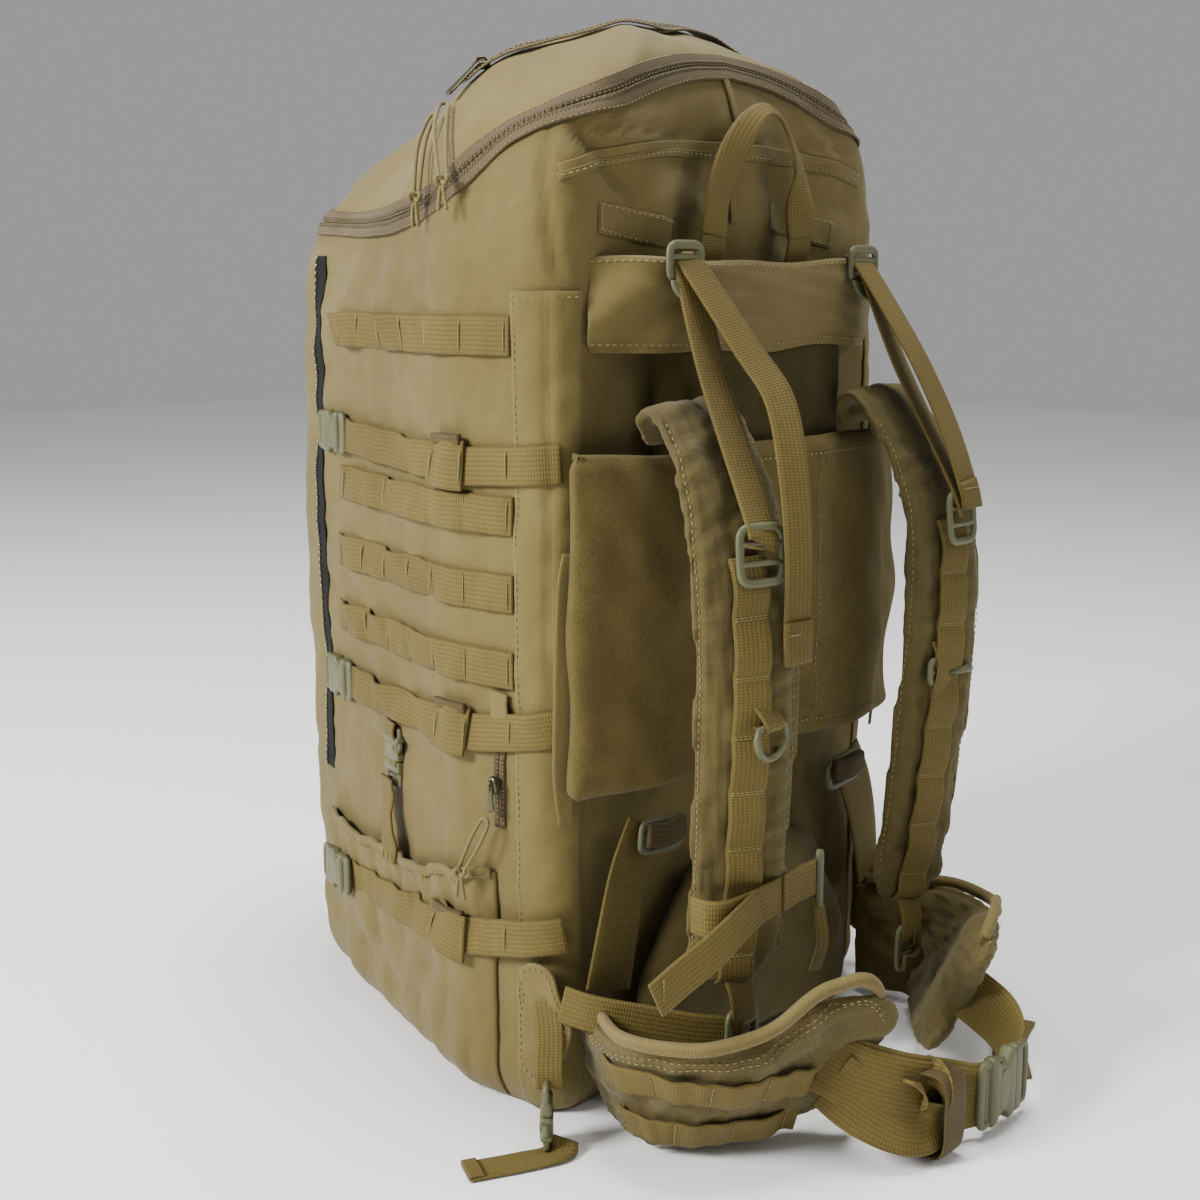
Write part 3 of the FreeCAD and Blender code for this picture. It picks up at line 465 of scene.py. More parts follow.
CLOTH = woven("pack_cloth", srgb(158, 143, 102), srgb(180, 165, 121), 1.1, 1.1, 0.25)
SIDE_CLOTH = woven("pack_side_cloth", srgb(163, 148, 104), srgb(184, 169, 123), 1.1, 1.1, 0.25)
FOAM_CLOTH = woven("pad_cloth", srgb(128, 116, 80), srgb(150, 137, 97), 1.3, 1.3, 0.35)
WEBBING = woven("webbing", srgb(148, 131, 83), srgb(170, 153, 102), 3.1, 1.9, 0.6, 0.03, 0.75, 0.35)
DARK_WEBBING = woven("rolled_webbing", srgb(112, 98, 66), srgb(134, 118, 82), 3.1, 1.9, 0.6, 0.03, 0.75, 0.35)
BINDING = woven("binding_tape", srgb(168, 152, 112), srgb(188, 172, 130), 1.6, 1.2, 0.4)
ZIP_TAPE = woven("zip_tape", srgb(122, 106, 80), srgb(146, 129, 100), 1.6, 1.4, 0.3, 0.1, 0.7, 0.3)
BLACK_TAPE = woven("black_zip_tape", srgb(9, 9, 9), srgb(18, 17, 16), 1.6, 1.4, 0.3, 0.0, 0.85, 0.3)
SUEDE = suede_finish("suede", srgb(132, 119, 86), srgb(154, 141, 105))
THREAD = moulded("stitch_thread", srgb(196, 184, 144), srgb(212, 200, 160), 0.8, 0.0, 0.1)
PLASTIC = moulded("moulded_plastic", srgb(120, 120, 94), srgb(140, 139, 110), 0.5)
TEETH = moulded("zip_coil", srgb(92, 80, 60), srgb(110, 96, 72), 0.5)
METAL = moulded("slider_metal", srgb(112, 108, 88), srgb(134, 130, 108), 0.35, 0.7)
BEADS = moulded("bead_metal", srgb(176, 168, 140), srgb(200, 192, 165), 0.3, 0.9)
CORD = woven("cord_sheath", srgb(186, 172, 130), srgb(212, 198, 158), 1.5, 1.5, 0.5, 0.1, 0.85, 0.3)
FOAM = suede_finish("foam_mesh", srgb(88, 80, 56), srgb(108, 99, 71))
SHEET_PLASTIC = moulded("frame_sheet_plastic", srgb(36, 36, 36), srgb(50, 50, 50), 0.5)
STAY_METAL = moulded("stay_metal", srgb(196, 198, 200), srgb(214, 216, 218), 0.3, 1.0)
seams = Seams()

# ------------------------------------------------------------------ the bag's outer surface
shell_low, shell_high = cad("bag_shell")
HALF_SIDE = shell_high[0]
BACK_Y = -shell_low[1]
FRONT_Y = shell_high[1]
CREST = cad("lid_shell")[1][2]
HALF_BACK, HALF_FRONT, SIDE_Y, ROUND = 180, 105, 34, 30
ARC_STEPS = 12


def plan_outline():
    """The left half of the bag's plan, from the middle of the back to the middle of the front."""
    core = [(-(HALF_BACK - ROUND), -(BACK_Y - ROUND)), (-(HALF_SIDE - ROUND), -SIDE_Y),
            (-(HALF_FRONT - ROUND), FRONT_Y - ROUND)]
    bearings = [-90.0]
    for (x0, y0), (x1, y1) in zip(core, core[1:]):
        bearings.append(math.degrees(math.atan2(y1 - y0, x1 - x0)) + 90)
    bearings.append(90.0)
    bearings = [bearing if bearing < 0 else bearing - 360 for bearing in bearings]
    rows = [(0, -BACK_Y, 0, -1)]
    for (x, y), first, last in zip(core, bearings, bearings[1:]):
        for bearing in np.linspace(math.radians(first), math.radians(last), ARC_STEPS):
            nx, ny = math.cos(bearing), math.sin(bearing)
            rows.append((x + ROUND * nx, y + ROUND * ny, nx, ny))
    rows.append((0, FRONT_Y, 0, 1))
    return np.array(rows)


OUTLINE = plan_outline()
RUN = run_along(OUTLINE[:, :2])
HALF_ROUND = RUN[-1]


def s_at(y):
    """Distance round the left side from the middle of the back, at a place along Y."""
    keep = (OUTLINE[:, 1] > -BACK_Y + 0.01) & (OUTLINE[:, 1] < FRONT_Y - 0.01)
    return float(np.interp(y, OUTLINE[keep, 1], RUN[keep]))


SIDES = curve((0, 1), (560, 1), (600, 1.0), (618, 0.985), (640, 0.955), (658, 0.90), (679, 0.77),
              (697, 0.63), (711, 0.49), (725, 0.32), (735, 0.17), (742, 0.015))
FRONT_SIDES = curve((0, 1), (540, 1), (580, 0.98), (600, 0.92), (612, 0.86), (627, 0.77), (645, 0.68),
                    (672, 0.49), (696, 0.27), (715, 0.15), (742, 0.015))
BACKWARD = curve((0, 1), (590, 1), (640, 0.995), (665, 0.985), (685, 0.95), (703, 0.87), (716, 0.74),
                 (729, 0.5), (738, 0.22), (742, 0.015))
FORWARD = curve((0, 1), (540, 1), (580, 0.99), (600, 0.965), (612, 0.94), (640, 0.86), (660, 0.74),
                (680, 0.61), (700, 0.47), (720, 0.32), (733, 0.19), (742, 0.015))
STRAPS = {"upper": (448, 442, 450), "middle": (277, 262, 260), "lower": (138, 118, 104)}


def puff(s, z):
    """How far the cloth swells or creases off the plan, at a distance round and a height."""
    a = np.abs(s)
    side = between(a, 262, 520, 12)
    back = between(a, -10, 150, 12)
    total = 3.5 * side * between(z, 90, 600, 25)
    total = total + 4.0 * side * bump(z, 540, 80) - 1.5 * back * between(z, 30, 560, 20)
    for back_z, _, front_z in STRAPS.values():
        level = back_z + (front_z - back_z) * np.clip((a - 200) / 300, 0, 1)
        total = total - 3.2 * between(a, 200, 540, 12) * bump(z, level, 34)
    total = total + 1.1 * side * ripple(s, z, 3, 150, 46) * between(z, 190, 600, 20)
    total = total + 1.6 * side * ripple(s - 0.4 * z, z, 5, 130, 60) * between(z, 500, 640, 20)
    total = total + 1.3 * side * ripple(s, z, 8, 70, 90) * between(z, 20, 180, 15)
    total = total + 2.6 * back * ripple(s + 0.9 * z, z, 4, 90, 75) * between(z, 575, 668, 9)
    total = total + 0.35 * ripple(s, z, 12, 34, 30)
    total = total - 14 * np.clip(1 - z / 34, 0, 1) ** 2.2
    for s0, z0, s1, z1, wide, deep in CREASES:
        run = math.hypot(s1 - s0, z1 - z0)
        along = ((s - s0) * (s1 - s0) + (z - z0) * (z1 - z0)) / run
        off = ((s - s0) * (z1 - z0) - (z - z0) * (s1 - s0)) / run
        total = total - deep * between(along, 0, run, 4) * np.exp(-(off / wide) ** 2)
    return total


# each crease: from, to, half width and depth; a negative depth is a raised fold
CREASES = [
    (-150, 656, 158, 656, 2.0, 2.6), (-152, 650, 150, 648, 5.0, -1.4), (12, 656, 20, 690, 1.6, 2.0),
    (170, 655, 120, 620, 6, 5.0), (166, 648, 118, 606, 7, -3.0), (178, 668, 150, 640, 5, 3.5),
    (60, 632, 10, 622, 16, 7.0), (-70, 640, -120, 618, 12, 4.0), (-30, 636, -50, 622, 10, 3.0),
    (170, 560, 186, 660, 3.5, 3.5), (-170, 560, -186, 660, 3.5, 3.5),
    (176, 300, 176, 560, 2.0, 2.2), (-176, 300, -176, 560, 2.0, 2.2),
    (240, 600, 330, 570, 9, 2.2), (300, 590, 420, 545, 12, 2.4), (250, 520, 330, 500, 8, 2.0),
    (360, 505, 470, 498, 6, 1.8), (420, 590, 500, 560, 10, 2.4), (230, 398, 300, 388, 6, 2.0),
    (270, 236, 420, 226, 5, 2.4), (300, 246, 380, 240, 6, -1.5),
]


def skin(s, z):
    """Points of the bag's outer surface at distances round (left side positive) and heights."""
    s, z = np.broadcast_arrays(np.asarray(s, float), np.asarray(z, float))
    a = np.abs(s)
    x, y, nx, ny = (np.interp(a, RUN, column) for column in OUTLINE.T)
    length = np.hypot(nx, ny)
    swell = puff(s, z) * between(z, -50, 690, 12)
    x, y = x + nx / length * swell, y + ny / length * swell
    toward_front = np.clip((y - 20) / 150, 0, 1)
    toward_front = toward_front * toward_front * (3 - 2 * toward_front)
    wide = SIDES(z) * (1 - toward_front) + FRONT_SIDES(z) * toward_front
    deep = np.where(y < 0, BACKWARD(z), FORWARD(z))
    return np.stack([np.where(s >= 0, 1, -1) * x * wide, y * deep, z], axis=-1)


def skin_out(s, z):
    """Outward directions of the bag's surface."""
    s, z = np.broadcast_arrays(np.asarray(s, float), np.asarray(z, float))
    step = 1.5
    round_way = skin(s + step, z) - skin(s - step, z)
    up_way = skin(s, z + step) - skin(s, np.minimum(z - step, CREST - 4))
    return unit(np.cross(up_way, round_way))


RIM = curve((0, 703), (87, 696), (130, 686), (160, 674), (190, 662), (217, 651), (250, 628), (275, 616),
            (300, 611), (635, 610))
COLUMNS = 300
SLIDER_REACH = 46  # how far the lid rises round its slider
CREST_REACH = 90  # how far the lid's top is smoothed round its crest
round_s = np.linspace(-HALF_ROUND, HALF_ROUND, COLUMNS, endpoint=False)


def bag_body():
    """The bag's walls and base, with a lining inside."""
    rows = 150
    share = np.linspace(0, 1, rows)[:, None]
    rim = RIM(np.abs(round_s))[None, :]
    z = share * rim
    s = np.broadcast_to(round_s, z.shape)
    walls = skin(s, z)
    weave = np.stack([s, z], axis=-1)
    base_rows = []
    base_weave = []
    for keep in (0.02, 0.2, 0.4, 0.6, 0.8, 0.93):
        ring = walls[0] * [keep, keep, 1]
        base_rows.append(ring + [0, 0, 1.2 * (1 - keep)])
        base_weave.append(ring[:, :2])
    points = np.concatenate([np.stack(base_rows), walls]).reshape(-1, 3)
    coords = np.concatenate([np.stack(base_weave), weave]).reshape(-1, 2)
    faces = grid_faces(rows + 6, COLUMNS, closed=True)
    faces.append(range(COLUMNS - 1, -1, -1))
    faces = [f[::-1] for f in map(list, faces)]
    piece = make("bag_body", points, faces, CLOTH, None, coords)
    piece.data.materials.append(SIDE_CLOTH)
    thicken(piece, 2.4)
    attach(piece, "bag")
    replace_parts(piece, "bag_shell")
    return piece


def lid_body():
    """The domed lid above the zip line, with a lining."""
    rows = 70
    rim = RIM(np.abs(round_s))[None, :] + 0.8
    share = 1 - (1 - np.linspace(0, 1, rows)[:, None]) ** 2
    z = rim + (CREST - 0.05 - rim) * share
    s = np.broadcast_to(round_s, z.shape)
    points = skin(s, z)
    inward = 1 - np.clip((z - 640) / 100, 0, 1)
    dent = 1.5 * ripple(points[..., 0], points[..., 1], 21, 120, 90) + 0.8 * ripple(
        points[..., 0], points[..., 1], 22, 50, 60)
    points[..., 2] += dent * (1 - inward) * 0.8 - 1.8 * (1 - inward)
    _, slider_high = cad("lid_slider")
    under = np.array([slider_high[0] - 6, centre_of("lid_slider")[1], slider_high[2] - 7.0])
    away = np.hypot(points[..., 0] - under[0], points[..., 1] - under[1])
    rise = under[2] - points[..., 2].ravel()[away.argmin()]
    points[..., 2] += rise * np.exp(-(away / SLIDER_REACH) ** 2)
    weave = points[..., :2].reshape(-1, 2)
    faces = [f[::-1] for f in grid_faces(rows, COLUMNS, closed=True)]
    faces.append([(rows - 1) * COLUMNS + k for k in range(COLUMNS)][::-1])
    piece = make("lid_cloth", points.reshape(-1, 3), faces, SIDE_CLOTH, None, weave)
    top = points[-1].mean(axis=0)
    crest = piece.vertex_groups.new(name="crest")
    for index, point in enumerate(points.reshape(-1, 3)):
        away = math.hypot(point[0] - top[0], (point[1] - top[1]) * 0.6)
        if away < CREST_REACH:
            crest.add([index], 1 - (away / CREST_REACH) ** 2, "REPLACE")
    eased = piece.modifiers.new("crest", "SMOOTH")
    eased.iterations = 60
    eased.factor = 0.6
    eased.vertex_group = "crest"
    thicken(piece, 2.0)
    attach(piece, "lid")
    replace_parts(piece, "lid_shell")
    return piece


bag = bag_body()
lid = lid_body()


def surface_of(piece):
    """A finder of the nearest or first-hit point on a piece, in millimetres."""
    matrix = piece.matrix_world
    points = [matrix @ vertex.co / MM for vertex in piece.data.vertices]
    return BVHTree.FromPolygons(points, [list(face.vertices) for face in piece.data.polygons])


lid_tree = surface_of(lid)


def on_lid(x, y):
    """The lid's top point and its outward direction above a place in plan."""
    point, normal, _, _ = lid_tree.ray_cast(Vector((x, y, CREST + 60)), Vector((0, 0, -1)))
    return np.array(point), np.array(normal)


# ------------------------------------------------------------------ pieces that follow the bag's surface
def strap_on_skin(name, route, width, off, finish=WEBBING, body="bag", thick=2.2,
                  count=None, lift=None):
    """A strap laid along (round, height) points of the surface; lift adds height along it."""
    line = spline([(s, z, 0) for s, z in route], count or 90)[:, :2]
    outs = skin_out(line[:, 0], line[:, 1])
    points = skin(line[:, 0], line[:, 1])
    ease(points, outs, 3)
    raised = np.full(len(line), float(off) + thick / 2)
    if lift is not None:
        raised = raised + lift(line)
    centres = points + outs * raised[:, None]
    piece = ribbon(name, centres, outs, width, thick, finish, body)
    return piece, centres, outs


def panel(name, low_s, high_s, low_z, high_z, off, finish, body="bag", thick=1.2,
          cells=(30, 60),
          shape=None):
    """A cloth panel over part of the surface, closed all round. shape adds to its height off the wall."""
    columns, rows = cells
    u = np.linspace(0, 1, columns)[None, :]
    v = np.linspace(0, 1, rows)[:, None]
    z_low = low_z(u) if callable(low_z) else low_z
    z_high = high_z(u) if callable(high_z) else high_z
    s = low_s + (high_s - low_s) * u + 0 * v
    z = z_low + (z_high - z_low) * v + 0 * u
    raised = off + (shape(u + 0 * v, v + 0 * u) if shape else 0)
    outs = skin_out(s, z)
    points = skin(s, z) + outs * np.broadcast_to(raised, s.shape)[..., None]
    faces = grid_faces(rows, columns)
    if high_s < low_s:
        faces = [f[::-1] for f in faces]
    piece = make(name, points.reshape(-1, 3), [f[::-1] for f in faces], finish, None,
                 np.stack([s, z], axis=-1).reshape(-1, 2))
    thicken(piece, thick)
    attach(piece, body)
    return piece


def bar_tacks(route_s, z, half, off, body="bag"):
    """Upright bar tacks across a webbing row."""
    for s in route_s:
        heights = np.array([z - half, z + half])
        place = skin([s, s], heights)
        out = skin_out([s, s], heights)
        for shift in (-0.5, 0.5):
            seams.add(place[0] + out[0] * off + [shift, shift * 0.3, 0],
                      place[1] + out[1] * off + [shift, shift * 0.3, 0], out[0], body)


ROW_Z = [311, 361.8, 412.6, 526.9]
WEB = 25.4


def side_webbing():
    """Rows of webbing down each side, tacked down at intervals so that they bow between the tacks."""
    start, end = s_at(-82), s_at(150)
    count = 7
    for side, word in ROUND_WAY:
        for level, z in enumerate(ROW_Z):
            tacks = np.linspace(start + 4, end - 8, count)
            def bow(line):
                share = (np.abs(line[:, 0]) - tacks[0]) / (tacks[1] - tacks[0])
                return 1.6 * np.abs(np.sin(np.clip(share, 0, count - 1) * math.pi)) ** 0.7
            strap_on_skin(f"webbing_row_{word}_{level + 1}",
                          [(side * start, z), (side * (start + end) / 2, z),
                          (side * end, z)], WEB, 0.5, lift=bow, count=140)
            bar_tacks(side * tacks, z, WEB / 2 - 1, 3.1)


def side_panels():
    """The stitched binding panel down each back edge, with its top hem."""
    for side, word in ROUND_WAY:
        low, high = side * (s_at(-113) - 12), side * s_at(-83)
        panel(f"side_binding_{word}", low, high, 5, 555, 1.4, SIDE_CLOTH, cells=(16, 150),
              shape=lambda u, v: 0.8 * bump(u, 0.5, 0.6) + 0.5 * ripple(u * 30, v * 550, 31, 60, 80))
        edge = np.full(120, high - side * 2.5), np.linspace(8, 552, 120)
        hem = np.linspace(low, high, 20), np.full(20, 551.0)
        for s, z in (edge, hem):
            seams.line(skin(s, z) + skin_out(s, z) * 1.9, skin_out(s, z))


def compression():
    """Three straps on each side with their keepers; the right ones run on across the front."""
    for side, word in ROUND_WAY:
        for level, (back_z, keeper_z, front_z) in STRAPS.items():
            off = 9.6 if level == "lower" else 3.4
            ends = [s_at(-112), s_at(-60), s_at(-25), s_at(60), s_at(160)]
            heights = [back_z, (back_z + keeper_z * 3) / 4, keeper_z, (keeper_z + front_z) / 2 - 1, front_z]
            route = [(side * s, z) for s, z in zip(ends, heights)]
            if side < 0:
                route += [(-HALF_ROUND + 60, front_z), (-HALF_ROUND + 2, front_z)]
            strap_on_skin(f"compression_strap_{level}_{word}", route, WEB, off, count=150)
            keeper = [(side * s_at(y), keeper_z) for y in (-43, -25, -6)]
            strap_on_skin(f"strap_keeper_{level}_{word}", keeper, 33, off + 2.4, count=24,
                          lift=lambda line: 2.6 * bump(np.linspace(0, 1, len(line)), 0.45, 0.62))
            roll = [(side * s_at(y), keeper_z + rise) for y, rise in ((-40, 18.5), (-25, 18), (-8, 17.5))]
            strap_on_skin(f"keeper_roll_{level}_{word}", roll, 7, off + 1.4,
                          finish=DARK_WEBBING, count=16, thick=3.4)
            for s in (s_at(-43) + 2, s_at(-9)):
                bar_tacks([side * s], keeper_z, 13, off + 5.2)
            bar_tacks([side * (s_at(-82) + 2)], (back_z + keeper_z) / 2 + 1, 10, off + 2.4)


side_webbing()
side_panels()
compression()
for node in ("pals_rows", "side_bindings", "compression_straps_left", "compression_straps_right",
             "strap_keepers"):
    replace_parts(bag, node)

# ------------------------------------------------------------------ zips
def zip_line(name, centres, outs, low_body, high_body, tape=10.5, gap=0.7):
    """Two tapes either side of a line, with coil ridges on both and a dark parting between them."""
    _, across, outward = frames(centres, outs)
    for sign, word, body in ((-1, "low", low_body), (1, "high", high_body)):
        shift = across * sign * (tape / 2 + gap / 2)
        ribbon(f"{name}_tape_{word}", centres + shift + outward * 1.3, outward, tape, 1.2, ZIP_TAPE, body,
               crown=0.5)
        run = run_along(centres)
        at = np.arange(1, run[-1], 2.4)
        place, side, out = (sample(rows, run, at) for rows in (centres, across, outward))
        near = place + side * sign * 1.0 + out * 2.2
        dashes(f"{name}_coil_{word}", near, near + side * sign * 3.6, out, 1.5, 0.9,
               TEETH, body)
        for off in (0.4, tape - 1.2):
            seams.line(place + side * sign * (off + gap) + out * 1.95, out, body, 2.2, 1.6)


def main_zip():
    s = np.linspace(-548, 548, 420)
    rim = RIM(np.abs(s))
    outs = unit(skin_out(s, rim - 6) + skin_out(s, rim + 6))
    points = skin(s, rim)
    ease(points, outs, 6)
    _, across, _ = frames(points, outs)
    first, second = ("bag", "lid") if across[210][2] > 0 else ("lid", "bag")
    zip_line("main_zip", points, outs, first, second)


def lid_zip():
    """The lid pocket's zip, from its slider on the left over the crest to the right edge."""
    route = spline([(-124, 17, 0), (-108, 8, 0), (-86, -5, 0), (-54, -20, 0), (-16, -36, 0), (22, -47, 0),
                    (60, -55, 0), (96, -60, 0), (130, -62, 0)], 170)
    hits = [on_lid(x, y) for x, y, _ in route]
    points = np.array([point for point, _ in hits])
    outs = np.array([out for _, out in hits])
    ease(points, outs, 24)
    zip_line("lid_zip", points + outs * 1.3, outs, "lid", "lid", tape=9)


def body_zips():
    """The black zips near the front edges with their bead teeth, and the short side zip."""
    for side, word in ROUND_WAY:
        z = [178, 240, 300, 360, 430, 500, 580]
        s = side * s_at(190)
        sway = [3, 0, -2, -1, 2, -1, 2]
        _, centres, outs = strap_on_skin(f"front_zip_tape_{word}",
                                         [(s + side * w, h) for w, h in zip(sway, z)], 17,
                                         -0.3, BLACK_TAPE, thick=1.4)
        _, across, outward = frames(centres, outs)
        run = run_along(centres)
        at = np.arange(2, run[-1], 5.4)
        place = sample(centres - across * side * 5.2 + outward * 0.9, run, at)
        out = sample(outward, run, at)
        along = unit(np.gradient(place, axis=0))
        rings = []
        faces = []
        for k, (p, o, t) in enumerate(zip(place, out, along)):
            turn = np.linspace(0, 2 * math.pi, 8, endpoint=False)[:, None]
            cross = np.cross(o, t)
            for rise, radius in ((-0.6, 1.1), (0.5, 1.75), (1.4, 1.3), (1.8, 0.4)):
                rings.append(p + o * rise + radius * (np.cos(turn) * t + np.sin(turn) * cross))
            faces += grid_faces(4, 8, closed=True, start=k * 32)
            faces.append([k * 32 + 24 + j for j in range(8)])
        make(f"front_zip_beads_{word}", np.vstack(rings), faces, BEADS, "bag")
    s = np.full(80, s_at(-68.0))
    z = np.linspace(202, 293, 80)
    zip_line("side_zip", skin(s, z), skin_out(s, z), "bag", "bag", tape=4.5)


main_zip()
lid_zip()
body_zips()
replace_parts(bag, "main_zip", "body_zips")
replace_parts(lid, "lid_zip")


# ------------------------------------------------------------------ side pockets
def side_pockets():
    """Stretch pockets gathered into an elastic hem that slopes down to the front."""
    for side, word in ROUND_WAY:
        start, end = side * s_at(-64), side * s_at(186)

        def hem(u):
            return 170 - 26 * np.clip(u * 1.5, 0, 1) ** 0.9 - 4 * bump(u, 0.35, 0.2) + 1.5 * np.sin(u * 40)

        def swell(u, v):
            edge = np.clip(np.minimum(u, 1 - u) * 9, 0, 1) ** 0.6 * np.clip(v * 8, 0, 1) ** 0.5
            gathers = (np.sin(u * 62 + 2 * np.sin(v * 3)) + 0.6 * np.sin(u * 101 + 1)) * v**3 * 1.1
            folds = 0.9 * ripple(u * 250, v * 160, 41, 60, 200)
            return edge * (5.5 + 1.5 * np.sin(v * 3)) + gathers * edge + folds * edge

        piece = panel(f"side_pocket_cloth_{word}", start, end, 4, hem, 1.3, CLOTH, cells=(150, 70),
                      shape=swell)
        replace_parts(piece, f"side_pocket_{word}")
        u = np.linspace(0.01, 0.99, 160)
        s = start + (end - start) * u
        z = hem(u)
        outs = skin_out(s, z)
        edge = np.clip(np.minimum(u, 1 - u) * 9, 0, 1) ** 0.6
        wave = 0.7 * np.sin(u * 62 + 1)
        centres = skin(s, z - 1) + outs * (1.5 + edge * 7.2 + wave * edge)[:, None]
        ribbon(f"pocket_hem_{word}", centres, outs, 7.5, 3.2, CLOTH, "bag")
        seams.line(centres + outs * 1.7 - [0, 0, 2.3], outs)
        strap_s = s_at(62)
        strap_on_skin(f"pocket_strap_top_{word}", [(side * strap_s, z) for z in (246, 214)], 20, 4.5)
        strap_on_skin(f"pocket_strap_low_{word}", [(side * strap_s, z) for z in (206, 185, 168, 142)], 20,
                      7.5,
                      lift=lambda line: 3.0 * np.clip((200 - line[:, 1]) / 40, 0, 1))
        bar_tacks([side * (strap_s + k) for k in (-6, 0, 6)], 146, 5, 13)


side_pockets()
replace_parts(bag, "pocket_straps")


# ------------------------------------------------------------------ laying pieces on finished cushions
def lay_on(tree, points, outs, off):
    """Moves points along their outward directions onto a surface, then off it by a distance."""
    settled = []
    for point, out in zip(np.asarray(points, float), unit(outs)):
        hit, _, _, _ = tree.ray_cast(Vector(point + out * 45), Vector(-out))
        settled.append(np.array(hit) if hit is not None else point)
    settled = np.array(settled)
    for _ in range(2):
        settled[1:-1] = (settled[:-2] + 2 * settled[1:-1] + settled[2:]) / 4
    return settled + unit(outs) * off


ROUND_SECTION = [(math.copysign(abs(math.cos(a)) ** 0.45, math.cos(a)),
                  math.copysign(abs(math.sin(a)) ** 0.75, math.sin(a)))
                 for a in np.linspace(math.pi, -math.pi, 28, endpoint=False)]


SIM_STEPS = 20


def inflate(piece, cap, pressure=4.0, voxel=5.0):
    """Blows a closed cloth shape up a little by cloth simulation and keeps the result."""
    remesh = piece.modifiers.new("voxels", "REMESH")
    remesh.mode = "VOXEL"
    remesh.voxel_size = voxel * MM
    apply_modifiers(piece)
    start = np.array([vertex.co for vertex in piece.data.vertices])
    cloth = piece.modifiers.new("air", "CLOTH")
    cloth.settings.use_pressure = True
    cloth.settings.uniform_pressure_force = pressure
    cloth.settings.effector_weights.gravity = 0
    scene = bpy.context.scene
    for step in range(1, SIM_STEPS + 1):
        scene.frame_set(step)
    graph = bpy.context.evaluated_depsgraph_get()
    moved = np.array([vertex.co for vertex in piece.evaluated_get(graph).data.vertices])
    piece.modifiers.clear()
    scene.frame_set(1)
    shift = moved - start
    far = np.linalg.norm(shift, axis=1, keepdims=True)
    shift *= np.minimum(1, cap * MM / np.maximum(far, 1e-9))
    piece.data.vertices.foreach_set("co", (start + shift).astype(np.float32).ravel())
    piece.data.update()
    smoother = piece.modifiers.new("smooth", "SMOOTH")
    smoother.iterations = 3
    finer = piece.modifiers.new("finer", "SUBSURF")
    finer.levels = 1
    apply_modifiers(piece)
    piece.data.shade_smooth()
    return piece


def work(piece, change):
    """Moves a piece's points, given and returned in millimetres."""
    moved = change(points_of(piece)) * MM
    piece.data.vertices.foreach_set("co", moved.astype(np.float32).ravel())
    piece.data.update()


def strap_coordinates(points, centres, faces):
    """(across, along, outward distance, nearest sample) of points beside a line."""
    _, across, outward = frames(centres, faces)
    run = run_along(centres)
    gaps = np.linalg.norm(points[:, None, :] - centres[None, :, :], axis=2)
    near = gaps.argmin(axis=1)
    offset = points - centres[near]
    u = (offset * across[near]).sum(axis=1)
    w = (offset * outward[near]).sum(axis=1)
    return u, run[near], w, near


def padded_strap(name, centres, faces, width, thick, cap, finish, grooves=(), wrinkle=0.6, seed=1,
                 ends=None):
    """A stuffed strap: inflated by simulation, then sewn channels, wrinkles and weave coordinates."""
    piece = ribbon(name, centres, faces, width, thick, finish, None, section=ROUND_SECTION)
    inflate(piece, cap)
    _, across, outward = frames(centres, faces)
    half = np.broadcast_to(width, len(centres)) / 2

    def sew(points):
        u, run, w, near = strap_coordinates(points, centres, faces)
        depth = np.zeros(len(points))
        for place, deep in grooves:
            depth += deep * np.exp(-((np.abs(u) - (half[near] - place)) / 1.7) ** 2)
        rise = wrinkle * ripple(u, run, seed, 34, 26) + 0.5 * wrinkle * ripple(u, run, seed + 1, 12, 60)
        ruffle = wrinkle * 1.3 * ripple(u * 0 + np.sign(u) * 50, run, seed + 2, 90, 15)
        edge = np.clip((np.abs(u) - half[near] + 9) / 9, 0, 1)
        shift = np.sign(w) * (rise - depth) * np.clip(np.abs(w) / 3, 0, 1) + ruffle * edge * 0.5
        return points + outward[near] * shift[:, None]

    work(piece, sew)
    points = points_of(piece)
    u, run, _, _ = strap_coordinates(points, centres, faces)
    set_weave(piece, np.column_stack([u, run]))
    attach(piece, "bag")
    return piece


def strap(name, rows, width, finish=WEBBING, body="bag", thick=2.1, count=70, crown=0.0):
    """A free strap through control rows of place and facing direction."""
    line = spline(rows, count)
    centres, faces = line[:, :3], unit(line[:, 3:6])
    wide = line[:, 6] if line.shape[1] > 6 else width
    ribbon(name, centres, faces, wide, thick, finish, body, crown=crown)
    return centres, faces


